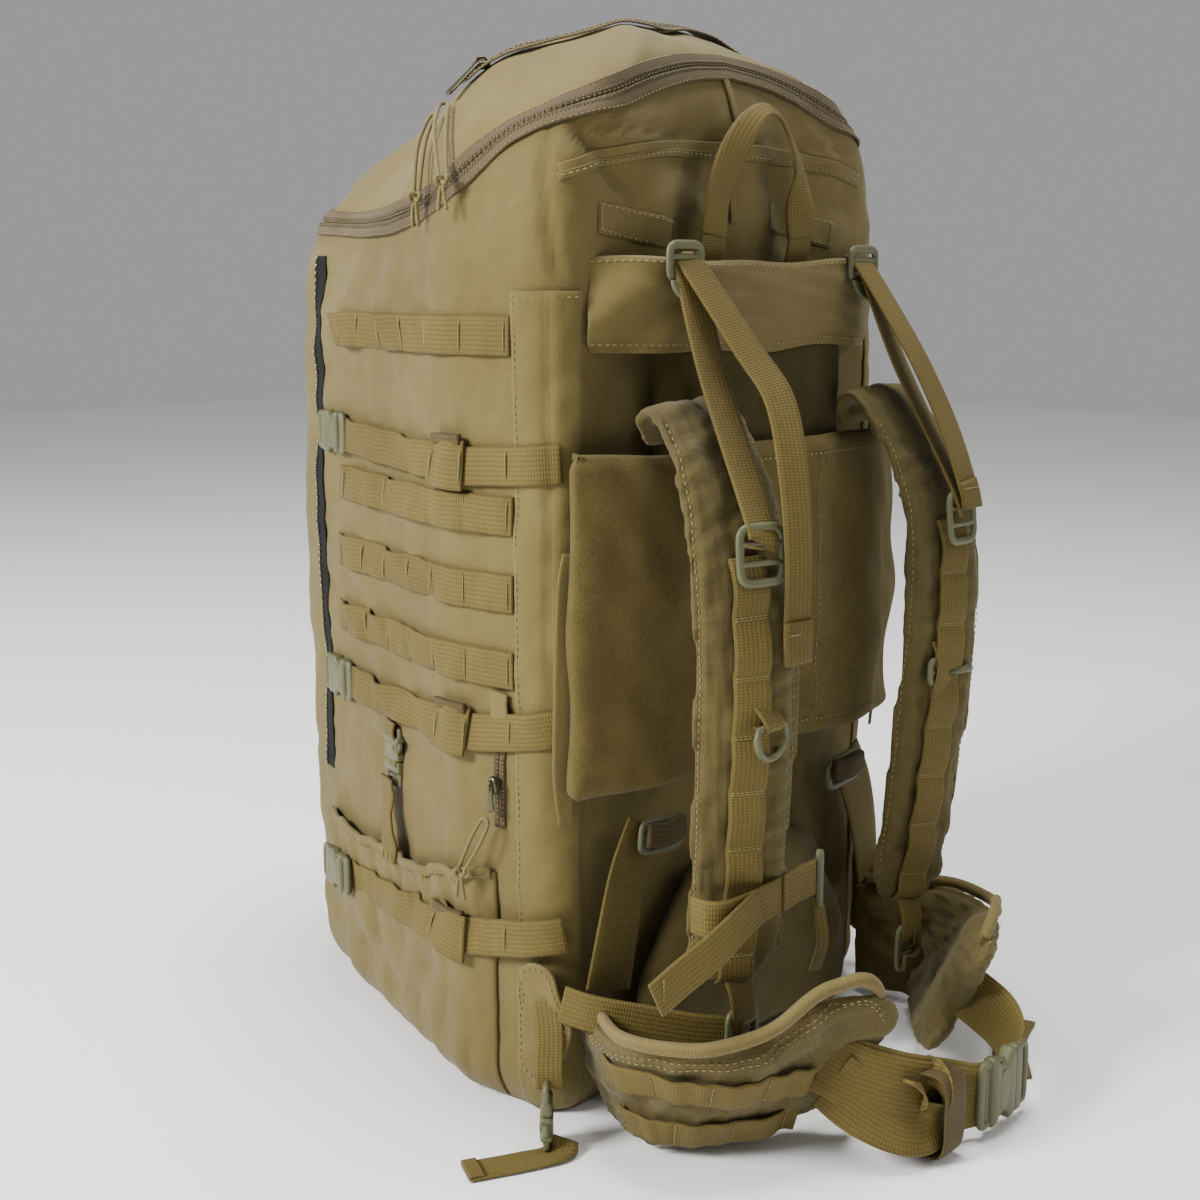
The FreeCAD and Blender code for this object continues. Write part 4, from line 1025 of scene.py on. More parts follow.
# ------------------------------------------------------------------ back panel
def top_band():
    """The padded band over the frame's top: smooth on the right, pulled into folds on the left."""
    low, high = cad("top_band")
    (x0, y_front), (x1, y_back) = low[:2], high[:2]
    route = spline([(x0 + 1, y_back + 1, 0), (x0 + 16, y_back - 12, 0), (x0 + 46, y_front + 3, 0),
                    (-60, y_front + 1, 0),
                    (0, y_front + 2, 0), (60, y_front + 1, 0), (x1 - 46, y_front + 3, 0),
                    (x1 - 14, y_back - 14, 0), (x1 - 1, y_back + 1, 0)], 150)[:, :2]
    v = np.linspace(-1, 1, 40)
    tangent = unit(np.gradient(np.column_stack([route, np.zeros(len(route))]), axis=0))
    out = np.cross(tangent, [0, 0, 1])
    share = np.linspace(0, 1, len(route))
    run = share * 330
    points = []
    for edge in v:
        z = (low[2] + high[2]) / 2 + edge * (high[2] - low[2]) / 2 * (1 - 0.10 * bump(share, 1, 0.05))
        z = z + 0.9 * ripple(run, edge, 51, 160, 10) * abs(edge) ** 2
        left = np.clip(1 - share * 3.2, 0, 1)
        folds = left * (8.5 * np.sin((run * 0.75 - edge * 26) / 9.5) * (1 - 0.3 * edge**2))
        belly = 1.6 * (1 - edge**2) + 0.8 * ripple(run, edge * 30, 52, 110, 40)
        rim = -2.6 * np.clip(np.abs(edge) - 0.93, 0, 1) / 0.07
        lifted = belly + folds * 0.55 + rim + 0.6
        points.append(np.column_stack([route, z]) + out * lifted[:, None])
    points = np.array(points)
    weave = np.stack(np.broadcast_arrays(run[None, :], v[:, None] * 28), axis=-1).reshape(-1, 2)
    piece = make("top_band_cloth", points.reshape(-1, 3), grid_faces(40, len(route)), CLOTH, None,
                 weave)
    thicken(piece, 3.0)
    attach(piece, "bag")
    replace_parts(piece, "top_band")
    for row in (2, -3):
        seams.line(points[row] + out * 0.4, out)
    ribbon("top_band_hem", points[0] + out * 0.2, out, 5, 2.4, CLOTH, "bag")


def flat_pad(node, name, inset, cap, finish, outline, seed):
    """A stuffed pad in a CAD pad's place: a crowned form with sewn lines."""
    low, high = cad(node)
    middle = (low[1] + high[1]) / 2
    thick = high[1] - low[1] - 2 * inset
    rows = np.array(outline, float)
    centre = rows.mean(axis=0)
    ring = spline([(*p, 0) for p in np.vstack([rows, rows[:1]])], 80)[:-1, :2]
    ring = centre + (ring - centre) * (1 - inset / 60)
    points = []
    levels = [(-1, 0.02), (-1, 0.5), (-1, 0.86), (-0.7, 0.97), (0, 1), (0.7, 0.97), (1, 0.86), (1, 0.5),
              (1, 0.02)]
    for level, keep in levels:
        inner = centre + (ring - centre) * keep
        points.append(np.column_stack([inner[:, 0], np.full(len(inner), middle + level * thick / 2),
                                       inner[:, 1]]))
    faces = grid_faces(len(levels), len(ring), closed=True)
    faces.append([len(ring) * (len(levels) - 1) + k for k in range(len(ring))][::-1])
    faces.append(list(range(len(ring))))
    piece = make(name, np.vstack(points), faces, finish, None)
    inflate(piece, cap)

    def rumple(points):
        front = np.clip((middle - points[:, 1]) / thick, 0, 1)
        rise = 1.2 * ripple(points[:, 0], points[:, 2], seed, 90, 70)
        return points - np.column_stack([0 * rise, rise * front, 0 * rise])

    work(piece, rumple)
    points = points_of(piece)
    set_weave(piece, points[:, [0, 2]])
    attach(piece, "bag")
    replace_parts(piece, node)


def yoke_sleeve():
    """The suede-faced sleeve round the back pad, soft and rounded where it turns to the sides."""
    low, high = cad("yoke_sleeve")
    pad_half = cad("back_pad")[1][0]
    face = low[1]
    half = high[0]
    route = spline([(-half, -128, 0), (-half - 1, -135, 0), (-half + 14, -143, 0),
                    (-pad_half - 4, face - 1, 0),
                    (-60, face - 1, 0), (0, face, 0), (60, face - 1, 0), (pad_half + 4, face - 1, 0),
                    (half - 14, -143, 0), (half + 1, -135, 0), (half, -128, 0)], 170)[:, :2]
    flat = np.column_stack([route, np.zeros(len(route))])
    out = unit(np.cross(unit(np.gradient(flat, axis=0)), [0, 0, 1]))
    run = run_along(flat)
    share = run / run[-1]
    v = np.linspace(0, 1, 90)
    points = []
    for part in v:
        bottom = low[2] + 8 - 8 * np.abs(share - 0.5) * 2
        top = high[2] - 3 * bump(share, 0.22, 0.2)
        z = bottom + (top - bottom) * part
        puffed = 1.6 * ripple(run, 230 * part, 71, 170, 120) + 0.8 * ripple(run, 230 * part, 72, 60, 90)
        curl = -6 * np.clip((part - 0.95) / 0.05, 0, 1) ** 2 - 5 * np.clip((0.035 - part) / 0.035, 0, 1) ** 2
        points.append(np.column_stack([route, z]) + out * (puffed + curl)[:, None])
    points = np.array(points)
    weave = np.stack(np.broadcast_arrays(run[None, :], v[:, None] * 230), axis=-1).reshape(-1, 2)
    piece = make("yoke_sleeve_suede", points.reshape(-1, 3), grid_faces(90, len(route)), SUEDE, None,
                 weave)
    thicken(piece, 4.0)
    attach(piece, "bag")
    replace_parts(piece, "yoke_sleeve")
    for row in (5, 84):
        seams.line(points[row, 62:164] + out[62:164] * 0.4, out[62:164])
    middle = 104
    seams.line(points[6:84, middle] + out[middle] * 0.4, np.tile(out[middle], (78, 1)))


def lumbar_pad():
    low, high = cad("lumbar_pad")
    half, top = high[0], high[2]
    outline = [(-0.5 * half, top), (-0.8 * half, 0.72 * top), (-half, 0.46 * top), (-half, 6),
               (-0.5 * half, 4),
               (0.5 * half, 4), (half, 6), (half, 0.46 * top), (0.8 * half, 0.72 * top), (0.5 * half, top)]
    flat_pad("lumbar_pad", "lumbar_pad_cloth", 4, 8, FOAM_CLOTH, outline, 66)


PAD_CORNER = 14
top_band()
(pad_left, _, pad_low), (pad_right, _, pad_top) = cad("back_pad")
pad_outline = [(pad_left, pad_low + PAD_CORNER), (pad_left + PAD_CORNER, pad_low), (0, pad_low),
               (pad_right - PAD_CORNER, pad_low), (pad_right, pad_low + PAD_CORNER), (pad_right, 380),
               (pad_right, pad_top - PAD_CORNER), (pad_right - PAD_CORNER, pad_top), (0, pad_top),
               (pad_left + PAD_CORNER, pad_top), (pad_left, pad_top - PAD_CORNER), (pad_left, 380)]
flat_pad("back_pad", "back_pad_foam", 3, 6, FOAM, pad_outline, 64)
yoke_sleeve()
lumbar_pad()

# ------------------------------------------------------------------ shoulder straps
STRAP_ROWS = [
    (106, -151, 459, 0, 1, 0.1), (106, -153.5, 476, 0, 0.9, 0.5), (106, -161, 485, 0, 0, 1),
    (107, -174, 478, 0, -0.6, 0.8), (112, -199, 440, 0, -0.85, 0.5), (116, -214.5, 396, 0, -0.95, 0.25),
    (115, -221, 345, 0, -1, 0.1), (112, -219.5, 280, 0, -1, 0), (108, -213, 200, 0, -1, -0.05),
    (104, -206, 140, 0, -1, -0.1), (101, -201, 106, 0, -1, -0.1),
]
STRAP_WIDE = 84
TACK_PITCH = 38.0  # bar tacks along the webbing of the straps and the belt
TACK_CELLS = np.linspace(-11, 11, 8)[:, None]  # stitches across one bar tack
strap_lines = {}


def shoulder_straps():
    for side, word in LEFT_RIGHT:
        turn = 0.62 if side < 0 else -0.35
        rows = [(side * x, y, z, side * turn * min(1, max(0, (480 - z) / 160)), fy, fz)
                for x, y, z, _, fy, fz in STRAP_ROWS]
        line = spline(rows, 120)
        centres, faces = line[:, :3], unit(line[:, 3:6])
        share = np.linspace(0, 1, 120)
        width = STRAP_WIDE * (0.96 - 0.10 * share**2) * np.clip(0.55 + 9 * (1 - share), 0, 1)
        width = width * np.clip(0.7 + 8 * share, 0, 1)
        piece = padded_strap(f"shoulder_pad_cloth_{word}", centres, faces, width, 8.5, 2.5, FOAM_CLOTH,
                             grooves=((7.5, 1.5),), wrinkle=0.75, seed=80 + side)
        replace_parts(piece, f"shoulder_pad_{word}")
        tree = surface_of(piece)
        _, across, outward = frames(centres, faces)
        for edge in (-1, 1):
            at = slice(14, 116)
            rim = centres[at] + across[at] * (edge * (width[at] / 2 - 7.5))[:, None]
            on = lay_on(tree, rim, outward[at], 0.3)
            seams.line(on, outward[at], lift=0.1)
        strap_lines[word] = (centres, faces, tree)


def daisy_chain():
    """Webbing down the middle of each shoulder strap, bar-tacked so that it stands off between tacks."""
    for side, word in LEFT_RIGHT:
        centres, faces, tree = strap_lines[word]
        _, across, outward = frames(centres, faces)
        pick = (centres[:, 2] < 396) & (centres[:, 2] > 108)
        base = lay_on(tree, centres[pick], outward[pick], 1.6)
        run = run_along(base)
        bow = 3.2 * np.abs(np.sin(run / TACK_PITCH * math.pi)) ** 0.8
        line = base + outward[pick] * bow[:, None]
        dense = spline(np.column_stack([line, outward[pick]]), 220)
        piece = ribbon(f"daisy_webbing_{word}", dense[:, :3], dense[:, 3:6], WEB, 2.2, WEBBING, "bag")
        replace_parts(piece, f"shoulder_webbing_{word}")
        for at in np.arange(1, int(run[-1] / TACK_PITCH) + 1) * TACK_PITCH:
            place, side_way, out = (sample(rows, run, at)[0] for rows in (base, across[pick], outward[pick]))
            for shift in (-0.8, 0.8):
                seams.row(place + out * 1.5 + [0, 0, shift], TACK_CELLS * side_way, out)


shoulder_straps()
daisy_chain()


# ------------------------------------------------------------------ hardware
def rounded_ring(wide, high, corner, count=48):
    """Points of a rounded rectangle round the origin, in its own plane."""
    turn = np.linspace(0, 2 * math.pi, count, endpoint=False)
    power = 2 / corner
    return np.column_stack([np.sign(np.cos(turn)) * np.abs(np.cos(turn)) ** power * wide / 2,
                            np.sign(np.sin(turn)) * np.abs(np.sin(turn)) ** power * high / 2])


def join(name, parts, body):
    """Several meshes as one piece."""
    bpy.ops.object.select_all(action="DESELECT")
    for part in parts:
        part.parent = None
        part.select_set(True)
    bpy.context.view_layer.objects.active = parts[0]
    bpy.ops.object.join()
    piece = parts[0]
    piece.name = name
    piece.data.name = name
    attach(piece, body)
    return piece


def lock(name, place, right, up, wide, high, bars, node=None, body="bag", tab=0.0, thick=2.9):
    """A ladder lock: a rounded frame with cross bars, and a thumb tab if asked."""
    place, right = np.asarray(place, float), unit(right)
    out = unit(np.cross(right, unit(up)))
    up = np.cross(out, right)
    ring = rounded_ring(wide - 2 * thick, high - 2 * thick, 5)
    path = place + ring[:, :1] * right + ring[:, 1:] * up
    parts = [tube(name, path, thick, PLASTIC, None, closed=True, flat=0.72)]
    for level in bars:
        ends = np.array([place + (side * (wide / 2 - thick)) * right + level * up for side in np.linspace(-1,
                                                                                                          1,
                                                                                                          6)])
        parts.append(tube(name + "_bar", ends, thick * 0.72, PLASTIC, None))
    if tab:
        u = np.linspace(-1, 1, 25)
        rows = []
        for t in np.linspace(0, 1, 14):
            spread = math.sqrt(max(0, 1 - t**3.2)) * (wide / 2 - 1)
            drop = -high / 2 + 2 - tab * t
            rise = 1.6 + 7 * t**1.6 + 0 * u
            rows.append(place + (u * spread)[:, None] * right + drop * up + rise[:, None] * out)
        grid = make(name + "_tab", np.vstack(rows), grid_faces(14, 25), PLASTIC, None)
        solid = grid.modifiers.new("plate", "SOLIDIFY")
        solid.thickness = 2.6 * MM
        rounded = grid.modifiers.new("soft", "SUBSURF")
        rounded.levels = 1
        apply_modifiers(grid)
        parts.append(grid)
    piece = join(name, parts, body)
    if node:
        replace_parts(piece, node)
    return piece


# ------------------------------------------------------------------ side-release buckles
def loft(name, start, along, out, rows, finish=PLASTIC):
    """A moulded body along a direction, from rows of distance, half width, half thickness and squareness."""
    along, out = unit(along), unit(out)
    across = np.cross(along, out)
    turn = np.linspace(0, 2 * math.pi, 36, endpoint=False)
    rings = []
    for reach, half_wide, half_thick, power in rows:
        wide = np.sign(np.cos(turn)) * np.abs(np.cos(turn)) ** power * half_wide
        deep = np.sign(np.sin(turn)) * np.abs(np.sin(turn)) ** power * half_thick
        rings.append(start + along * reach + wide[:, None] * across + deep[:, None] * out)
    return make(name, np.vstack(rings), capped_faces(len(rows), len(turn)), finish, None)


def web_frame(name, start, along, out, wide, reach, thick):
    """The ring at a buckle's end that the webbing turns round, with an inner bar."""
    along, out = unit(along), unit(out)
    across = np.cross(along, out)
    ring = rounded_ring(wide - thick, reach, 5)
    path = start + along * (reach / 2) + ring[:, :1] * across + ring[:, 1:] * along
    rim = tube(name, path, thick / 2, PLASTIC, None, closed=True)
    ends = np.array([start + along * (reach * 0.45) + across * side * (wide / 2 - thick * 0.6)
                     for side in np.linspace(-1, 1, 7)])
    return [rim, tube(name + "_bar", ends, thick * 0.36, PLASTIC, None)]


def buckle_socket(name, mouth, along, out, wide, long, thick, body, node=None):
    """A side-release socket: open mouth, waisted sides at the prongs, raised face and webbing ring."""
    mouth, half, deep = np.asarray(mouth, float), wide / 2, thick / 2
    rows = [(0, half * 0.90, deep * 0.55, 0.5), (0.4, half * 0.97, deep * 0.86, 0.42), (1.6, half, deep, 0.4),
            (long * 0.16, half, deep, 0.4), (long * 0.22, half * 0.82, deep * 0.96, 0.45),
            (long * 0.30, half * 0.74, deep * 0.93, 0.5), (long * 0.46, half * 0.74, deep * 0.93, 0.5),
            (long * 0.54, half * 0.84, deep * 0.96, 0.45), (long * 0.60, half * 0.97, deep, 0.4),
            (long * 0.70, half * 0.98, deep * 0.94, 0.4), (long * 0.74, half * 0.94, deep * 0.75, 0.45),
            (long * 0.76, half * 0.88, deep * 0.5, 0.5)]
    parts = [loft(name, mouth, along, out, rows)]
    face = mouth + unit(out) * (deep * 0.93)
    badge = [(long * 0.27, half * 0.1, 0.3, 0.9), (long * 0.29, half * 0.4, 0.5, 0.9),
             (long * 0.36, half * 0.56, 0.7, 0.9),
             (long * 0.48, half * 0.56, 0.7, 0.9), (long * 0.56, half * 0.4, 0.5, 0.9),
             (long * 0.58, half * 0.1, 0.3, 0.9)]
    parts.append(loft(name + "_rise", face, along, out, badge))
    parts += web_frame(name + "_ring", mouth + unit(along) * long * 0.70, along, out, wide * 0.98,
                       long * 0.28,
                       thick * 0.5)
    piece = join(name, parts, body)
    if node:
        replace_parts(piece, node)
    return piece


def buckle_plug(name, mouth, along, out, wide, inside, outside, thick, body, node=None):
    """The plug: two sprung prongs and a guide inside the socket, with a shoulder and webbing ring outside."""
    mouth, along, out = np.asarray(mouth, float), unit(along), unit(out)
    across = np.cross(along, out)
    half, deep = wide / 2, thick / 2
    shoulder = [(0.3, half * 0.8, deep * 0.5, 0.5), (0.8, half * 0.96, deep * 0.85, 0.42),
                (2, half, deep * 0.92, 0.4),
                (outside * 0.42, half, deep * 0.92, 0.4), (outside * 0.5, half * 0.95, deep * 0.6, 0.45)]
    parts = [loft(name, mouth, -along, out, shoulder)]
    parts += web_frame(name + "_ring", mouth - along * outside * 0.42, -along, out, wide * 0.98,
                       outside * 0.56,
                       thick * 0.5)
    for side in (-1, 1):
        path = [mouth + along * reach + across * side * spread * half for reach, spread in
                ((-1, 0.72), (inside * 0.35, 0.74), (inside * 0.6, 0.84), (inside * 0.8, 0.9),
                 (inside, 0.62))]
        parts.append(tube(name + "_prong", spline(path, 16), deep * 0.42, PLASTIC, None, flat=1.2))
    guide = [mouth + along * reach for reach in (-1, inside * 0.4, inside * 0.9)]
    parts.append(tube(name + "_guide", guide, deep * 0.36, PLASTIC, None))
    piece = join(name, parts, body)
    if node:
        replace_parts(piece, node)
    return piece


LIFTER = (98, *centre_of("lifter_buckles")[1:])
UPPER = (116, *centre_of("shoulder_ladder_locks")[1:])


def lifters():
    """Load lifters from the band's buckles down to the ladder locks on the shoulder straps."""
    (bx, by, bz), (lx, ly, lz) = LIFTER, UPPER
    down = unit(np.array([lx - bx, ly - by, lz - bz]))
    face = unit(np.array([0.15, down[2], -down[1]]))
    taut = [(bx, by + 3, bz + 2, 0, -0.7, 0.7), (bx, by - 4, bz - 3, *face),
            (bx * 0.6 + lx * 0.4, by * 0.62 + ly * 0.38 - 2, bz * 0.6 + lz * 0.4, *face),
            (lx - 1, ly, lz + 16, *face), (lx, ly + 3, lz + 7, 0, -1, 0.3)]
    tails = {
        "left": [(bx - 1, by + 1, bz + 4, 0, -0.6, 0.8, 24), (bx - 3, by - 7, bz - 3, 0.1, -0.8, 0.6, 24),
                 (bx - 10, by - 44, bz - 52, 0.2, -0.75, 0.6, 24), (bx - 12, -222, 488, 0.3, -0.85, 0.5, 23),
                 (bx - 4, -240, 440, 0.3, -0.9, 0.2, 22), (bx - 2, -246, 392, 0.3, -0.9, 0, 20),
                 (bx - 6, -243, 346, 0.3, -0.9, -0.1, 20), (bx - 8, -242, 326, 0.3, -1, 0, 21)],
        "right": [(bx - 1, by + 1, bz + 4, 0, -0.6, 0.8, 24), (bx - 2, by - 7, bz - 3, 0, -0.8, 0.6, 24),
                  (bx + 3, by - 46, bz - 60, 0, -0.8, 0.5, 24), (bx + 12, -222, 462, 0, -0.9, 0.3, 24),
                  (bx + 18, -236, 420, 0, -1, 0.1, 23), (bx + 19, -240, 404, 0, -1, 0, 23)],
    }
    cells = np.linspace(-9, 9, 7)[:, None] * np.array([1, 0, 0])
    for side, word in LEFT_RIGHT:
        lock(f"lifter_buckle_{word}", (side * bx, by - 2, bz + 1), (1, 0.0, 0), (0, 0, 1), 36, 27, (3,),
             "lifter_buckles", tab=15)
        lock(f"upper_ladder_lock_{word}", (side * lx, ly - 1, lz), (1, -0.3 if side < 0 else 0, 0),
             (0, 0.1, 1), 37, 40, (-5, 7), "shoulder_ladder_locks")
        strap(f"load_lifter_taut_{word}", mirror(side, taut), 24)
        centres, faces = strap(f"load_lifter_tail_{word}", mirror(side, tails[word]), 24)
        end = centres[-8:] + faces[-8:] * 1.6
        ribbon(f"lifter_fold_{word}", end, faces[-8:], 21, 2.4, WEBBING, "bag")
        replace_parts(bpy.data.objects[f"load_lifter_taut_{word}"], f"load_lifter_{word}")
        seams.row(centres[-6] + faces[-6] * 3.0, cells, faces[-6])


lifters()


def sternum():
    """Chest webbing round the left strap with its bar, the hanging D-ring and the right strap's toggle."""
    low, high = cad("sternum_webbing")
    z, y = (low[2] + high[2]) / 2 + 20, low[1] - 1
    strap("sternum_wrap", [(-76, y + 22, z + 4, 1, 0, 0), (-70, y + 10, z + 3, 1, -0.3, 0),
                           (-76, y, z + 2, 0, -1, 0),
                           (-104, y - 4, z + 1, 0, -1, 0), (-136, y - 2, z, 0, -1, 0),
                           (-148, y + 6, z, -1, -0.3, 0),
                           (-148, y + 20, z, -1, 0, 0)], 25)
    strap("sternum_slide_end", [(-44, y, z + 2, 0, -1, 0), (-62, y - 1, z + 2, 0, -1, 0),
                                (-84, y - 4, z + 2, 0, -1, 0)], 25)
    centres, faces = strap("sternum_tail", [(-112, y - 6, z + 2, 0, -1, 0.1),
                                            (-132, y - 8, z - 3, 0, -1, 0.1),
                                            (-158, y - 7, z - 14, -0.1, -1, 0.2),
                                            (-186, y - 3, z - 25, -0.1, -1, 0.2),
                                            (-206, y - 1, z - 33, 0, -1, 0.2)], 24)
    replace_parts(bpy.data.objects["sternum_wrap"], "sternum_webbing")
    tip = centres[-5] + faces[-5] * 1.4
    seams.row(tip, np.linspace(-10, 10, 8)[:, None] * np.array([0, 0, 1.0]), faces[-5])
    bar = np.array([(-40, y - 1, z - 20 + 5 * k) for k in range(9)])
    tube("sternum_bar", bar, np.r_[2.4, np.full(7, 3.0), 2.4], PLASTIC, "bag", flat=0.8)
    strap("sternum_keeper", [(-40, y + 1, z - 14, -0.3, -1, 0), (-38, y - 1, z - 28, -0.4, -1, 0),
                             (-30, y + 2, z - 50, -0.5, -1, 0), (-24, y + 12, z - 74, -0.5, -1, 0)], 9,
                             thick=1.6)
    cx, ring_y, _ = centre_of("d_ring")
    top = cad("d_ring")[1][2]
    turn = np.linspace(math.pi, 2 * math.pi, 26)
    path = [(cx + 14.5 * math.cos(a), ring_y, top - 9 + 14.5 * math.sin(a)) for a in turn]
    path += [(cx + 13, ring_y, top - 3), (cx, ring_y, top - 2.4), (cx - 13, ring_y, top - 3)]
    ring = tube("d_ring_hoop", path, 2.3, PLASTIC, "d_ring", closed=True)
    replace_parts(ring, "d_ring")
    strap("d_ring_tab", [(cx - 2, ring_y + 7, top + 12, 0, -1, 0.2),
                         (cx - 1, ring_y + 1, top + 5, 0, -1, 0.4),
                         (cx, ring_y - 3, top - 2, 0, -1, 0), (cx, ring_y + 2, top - 6, 0, 0, -1),
                         (cx, ring_y + 8, top - 2, 0, 1, 0)], 18, count=30)
    hard_low, hard_high = cad("sternum_hardware")
    tx, ty = hard_high[0] - 16, hard_low[1]
    tz = hard_high[2] - 5
    lock("toggle_frame", (tx - 2, ty + 12, tz), (1, 0, 0), (0, 0, 1), 32, 22, (0,), "sternum_hardware")
    tube("toggle_bar", [(tx + 4, ty + 8, tz - 2), (tx + 12, ty + 3, tz - 1), (tx + 18, ty + 2, tz),
                        (tx + 26, ty + 4, tz - 2)],
         [2.2, 2.6, 3.2, 2.4], PLASTIC, "bag")
    strap("toggle_strap", [(tx, ty + 14, tz + 22, 0, -1, 0), (tx, ty + 9, tz + 10, 0, -1, 0),
                           (tx - 1, ty + 8, tz, 0, -1, 0),
                           (tx - 3, ty + 11, tz - 20, 0, -1, 0)], 22)


sternum()


def lower_harness():
    """Lower ladder locks, their webbing from the corner flaps, and the crossing straps behind."""
    _, ly, lz = centre_of("lower_ladder_locks")
    yoke_y, yz = cad("yoke_ladder_locks")[0][1], centre_of("yoke_ladder_locks")[2]
    strap_end = [(101, ly + 6, 116, 0, -1, 0), (101, ly - 1, 100, 0, -1, 0), (100, ly - 2, 84, 0, -1, 0),
                 (100, ly + 3, 72, 0, -0.3, -1)]
    web_run = [(189, -132, 98, 1, -0.1, 0.2), (180, -150, 94, 0.9, -0.6, 0.1),
               (160, -172, 88, 0.6, -0.8, 0.1),
               (130, -196, 79, 0.5, -0.9, 0), (104, ly - 3, 74, 0.3, -1, 0)]
    web_roll = [(112, ly - 4, 66, 0, -1, 0), (100, ly - 5, 62, 0, -1, 0), (88, ly - 4, 64, 0, -1, 0.1)]
    yoke_roll = [(88, yoke_y - 3, yz + 3, 0, -1, 0), (106, yoke_y - 5, yz + 2, 0, -1, 0),
                 (124, yoke_y - 3, yz + 4, 0, -1, 0)]
    yoke_strap = [(116, -139, 204, 0, -1, 0), (132, -139, 176, 0, -1, 0), (143, -140, 140, 0.1, -1, 0),
                  (152, -139, 98, 0.2, -1, 0)]
    for side, word in LEFT_RIGHT:
        lock(f"lower_ladder_lock_{word}", (side * 100, ly, lz), (1, 0, 0), (0, 0, 1), 34, 38, (-6, 6),
             "lower_ladder_locks")
        strap(f"lower_strap_end_{word}", mirror(side, strap_end), 25)
        strap(f"lower_webbing_{word}_run", mirror(side, web_run), 25)
        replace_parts(bpy.data.objects[f"lower_webbing_{word}_run"], "lower_webbing")
        strap(f"lower_webbing_{word}_roll", mirror(side, web_roll), 12, DARK_WEBBING, thick=5)
        lock(f"yoke_ladder_lock_{word}", (side * 106, yoke_y + 1, yz), (1, 0, 0.12 * side), (0, 0, 1), 46, 26,
             (0,), "yoke_ladder_locks")
        strap(f"yoke_roll_{word}", mirror(side, yoke_roll), 16, DARK_WEBBING, thick=6)
        strap(f"yoke_strap_{word}", mirror(side, yoke_strap), 37)
        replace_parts(bpy.data.objects[f"yoke_strap_{word}"], "yoke_straps")


lower_harness()


def corners():
    """Cloth flaps at the lower back corners, their buckles' short webbing, and the tails on the floor."""
    for side, word in LEFT_RIGHT:
        x = side * (HALF_SIDE + 4.6)
        outline = np.array([(-96, 112), (-106, 117), (-117, 115), (-124, 106), (-131, 90), (-134, 72),
                            (-124, 50),
                            (-112, 34), (-102, 36), (-95, 48), (-93, 80)])
        ring = spline([(y, z, 0) for y, z in np.vstack([outline, outline[:1]])], 70)[:-1, :2]
        centre = ring.mean(axis=0)
        rows = []
        for keep in (0.02, 0.3, 0.6, 0.85, 0.96, 1.0):
            inner = centre + (ring - centre) * keep
            wave = 1.4 * ripple(inner[:, 0], inner[:, 1], 91, 60, 50)
            edge = -1.2 * (keep == 1.0)
            bend = 0.0016 * (inner[:, 0] + 100) ** 2
            rows.append(np.column_stack([x + side * (wave + edge - bend), inner]))
        faces = grid_faces(6, len(ring), closed=True)
        if side > 0:
            faces = [f[::-1] for f in faces]
        piece = make(f"corner_flap_{word}", np.vstack(rows), faces, CLOTH, None,
                     np.vstack([row[:, 1:] for row in rows]))
        thicken(piece, 2.4, offset=0)
        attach(piece, "bag")
        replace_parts(piece, "corner_wings")
        out = np.tile([side, 0, 0.0], (len(ring), 1))
        line = rows[4] + out * 1.4
        seams.line(line, out)
        tube(f"corner_flap_edge_{word}", rows[-1], 1.7, BINDING, "bag", closed=True, sides=8)
        strap(f"corner_buckle_strap_{word}", mirror(side, [
            (HALF_SIDE + 6, -118, 96, 1, -0.6, 0), (HALF_SIDE + 11, -126, 76, 1, -0.9, 0),
            (HALF_SIDE + 17, -131, 56, 1, -0.9, 0), (HALF_SIDE + 17, -132, 43, 1, -0.9, 0)]),
              19, body=None, count=30)
        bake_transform(bpy.data.objects[f"corner_buckle_strap_{word}"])
        tail = [(HALF_SIDE + 12, -138, 8, 0.6, -0.6, 0.6), (HALF_SIDE + 22, -142, 3, 0, 0, 1)]
        tail += [(HALF_SIDE + away, y, 2.2, 0, 0, 1) for away, y in ((44, -133), (66, -122), (78, -116))]
        centres, faces = strap(f"corner_tail_{word}", mirror(side, tail), 23)
        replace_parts(bpy.data.objects[f"corner_tail_{word}"], "corner_straps")
        ribbon(f"corner_tail_fold_{word}", centres[-10:] + [0, 0, 2.0], faces[-10:], 22, 2.2, WEBBING, "bag")


corners()


# ------------------------------------------------------------------ hip belt
FOOT = [(150, -124), (155, -178), (133, -204), (104, -224), (75, -243), (48, -268)]
BRIM = [(170, -124), (215, -188), (204, -249), (164, -276), (112, -287), (66, -308)]
BRIM_Z = 125
BELT_TOP = curve((0, 90), (0.3, 90), (0.55, 93), (0.72, 103), (0.86, 124), (0.97, 118), (1, 104))
BELT_LOW = curve((0, 1), (0.8, 2), (0.92, 12), (1, 34))


def wing_point(side, u, z):
    """A point of the belt wing's outer face, u along it from the lumbar pad."""
    foot = spline([(x, y, 0) for x, y in FOOT], 101)
    brim = spline([(x, y, 0) for x, y in BRIM], 101)
    at = np.linspace(0, 1, 101)
    t = np.asarray(z) / BRIM_Z
    place = []
    for axis in (0, 1):
        place.append(np.interp(u, at, foot[:, axis]) * (1 - t) + np.interp(u, at, brim[:, axis]) * t)
    return np.stack([side * place[0], place[1], z + 0 * t], axis=-1)


def wing_lines(side, u, z):
    """Points and outward directions of the wing's outer face."""
    along = wing_point(side, np.clip(u + 0.01, 0, 1), z) - wing_point(side, np.clip(u - 0.01, 0, 1), z)
    upward = wing_point(side, u, z + 2) - wing_point(side, u, z - 2)
    return wing_point(side, u, z), unit(np.cross(upward, along)) * side


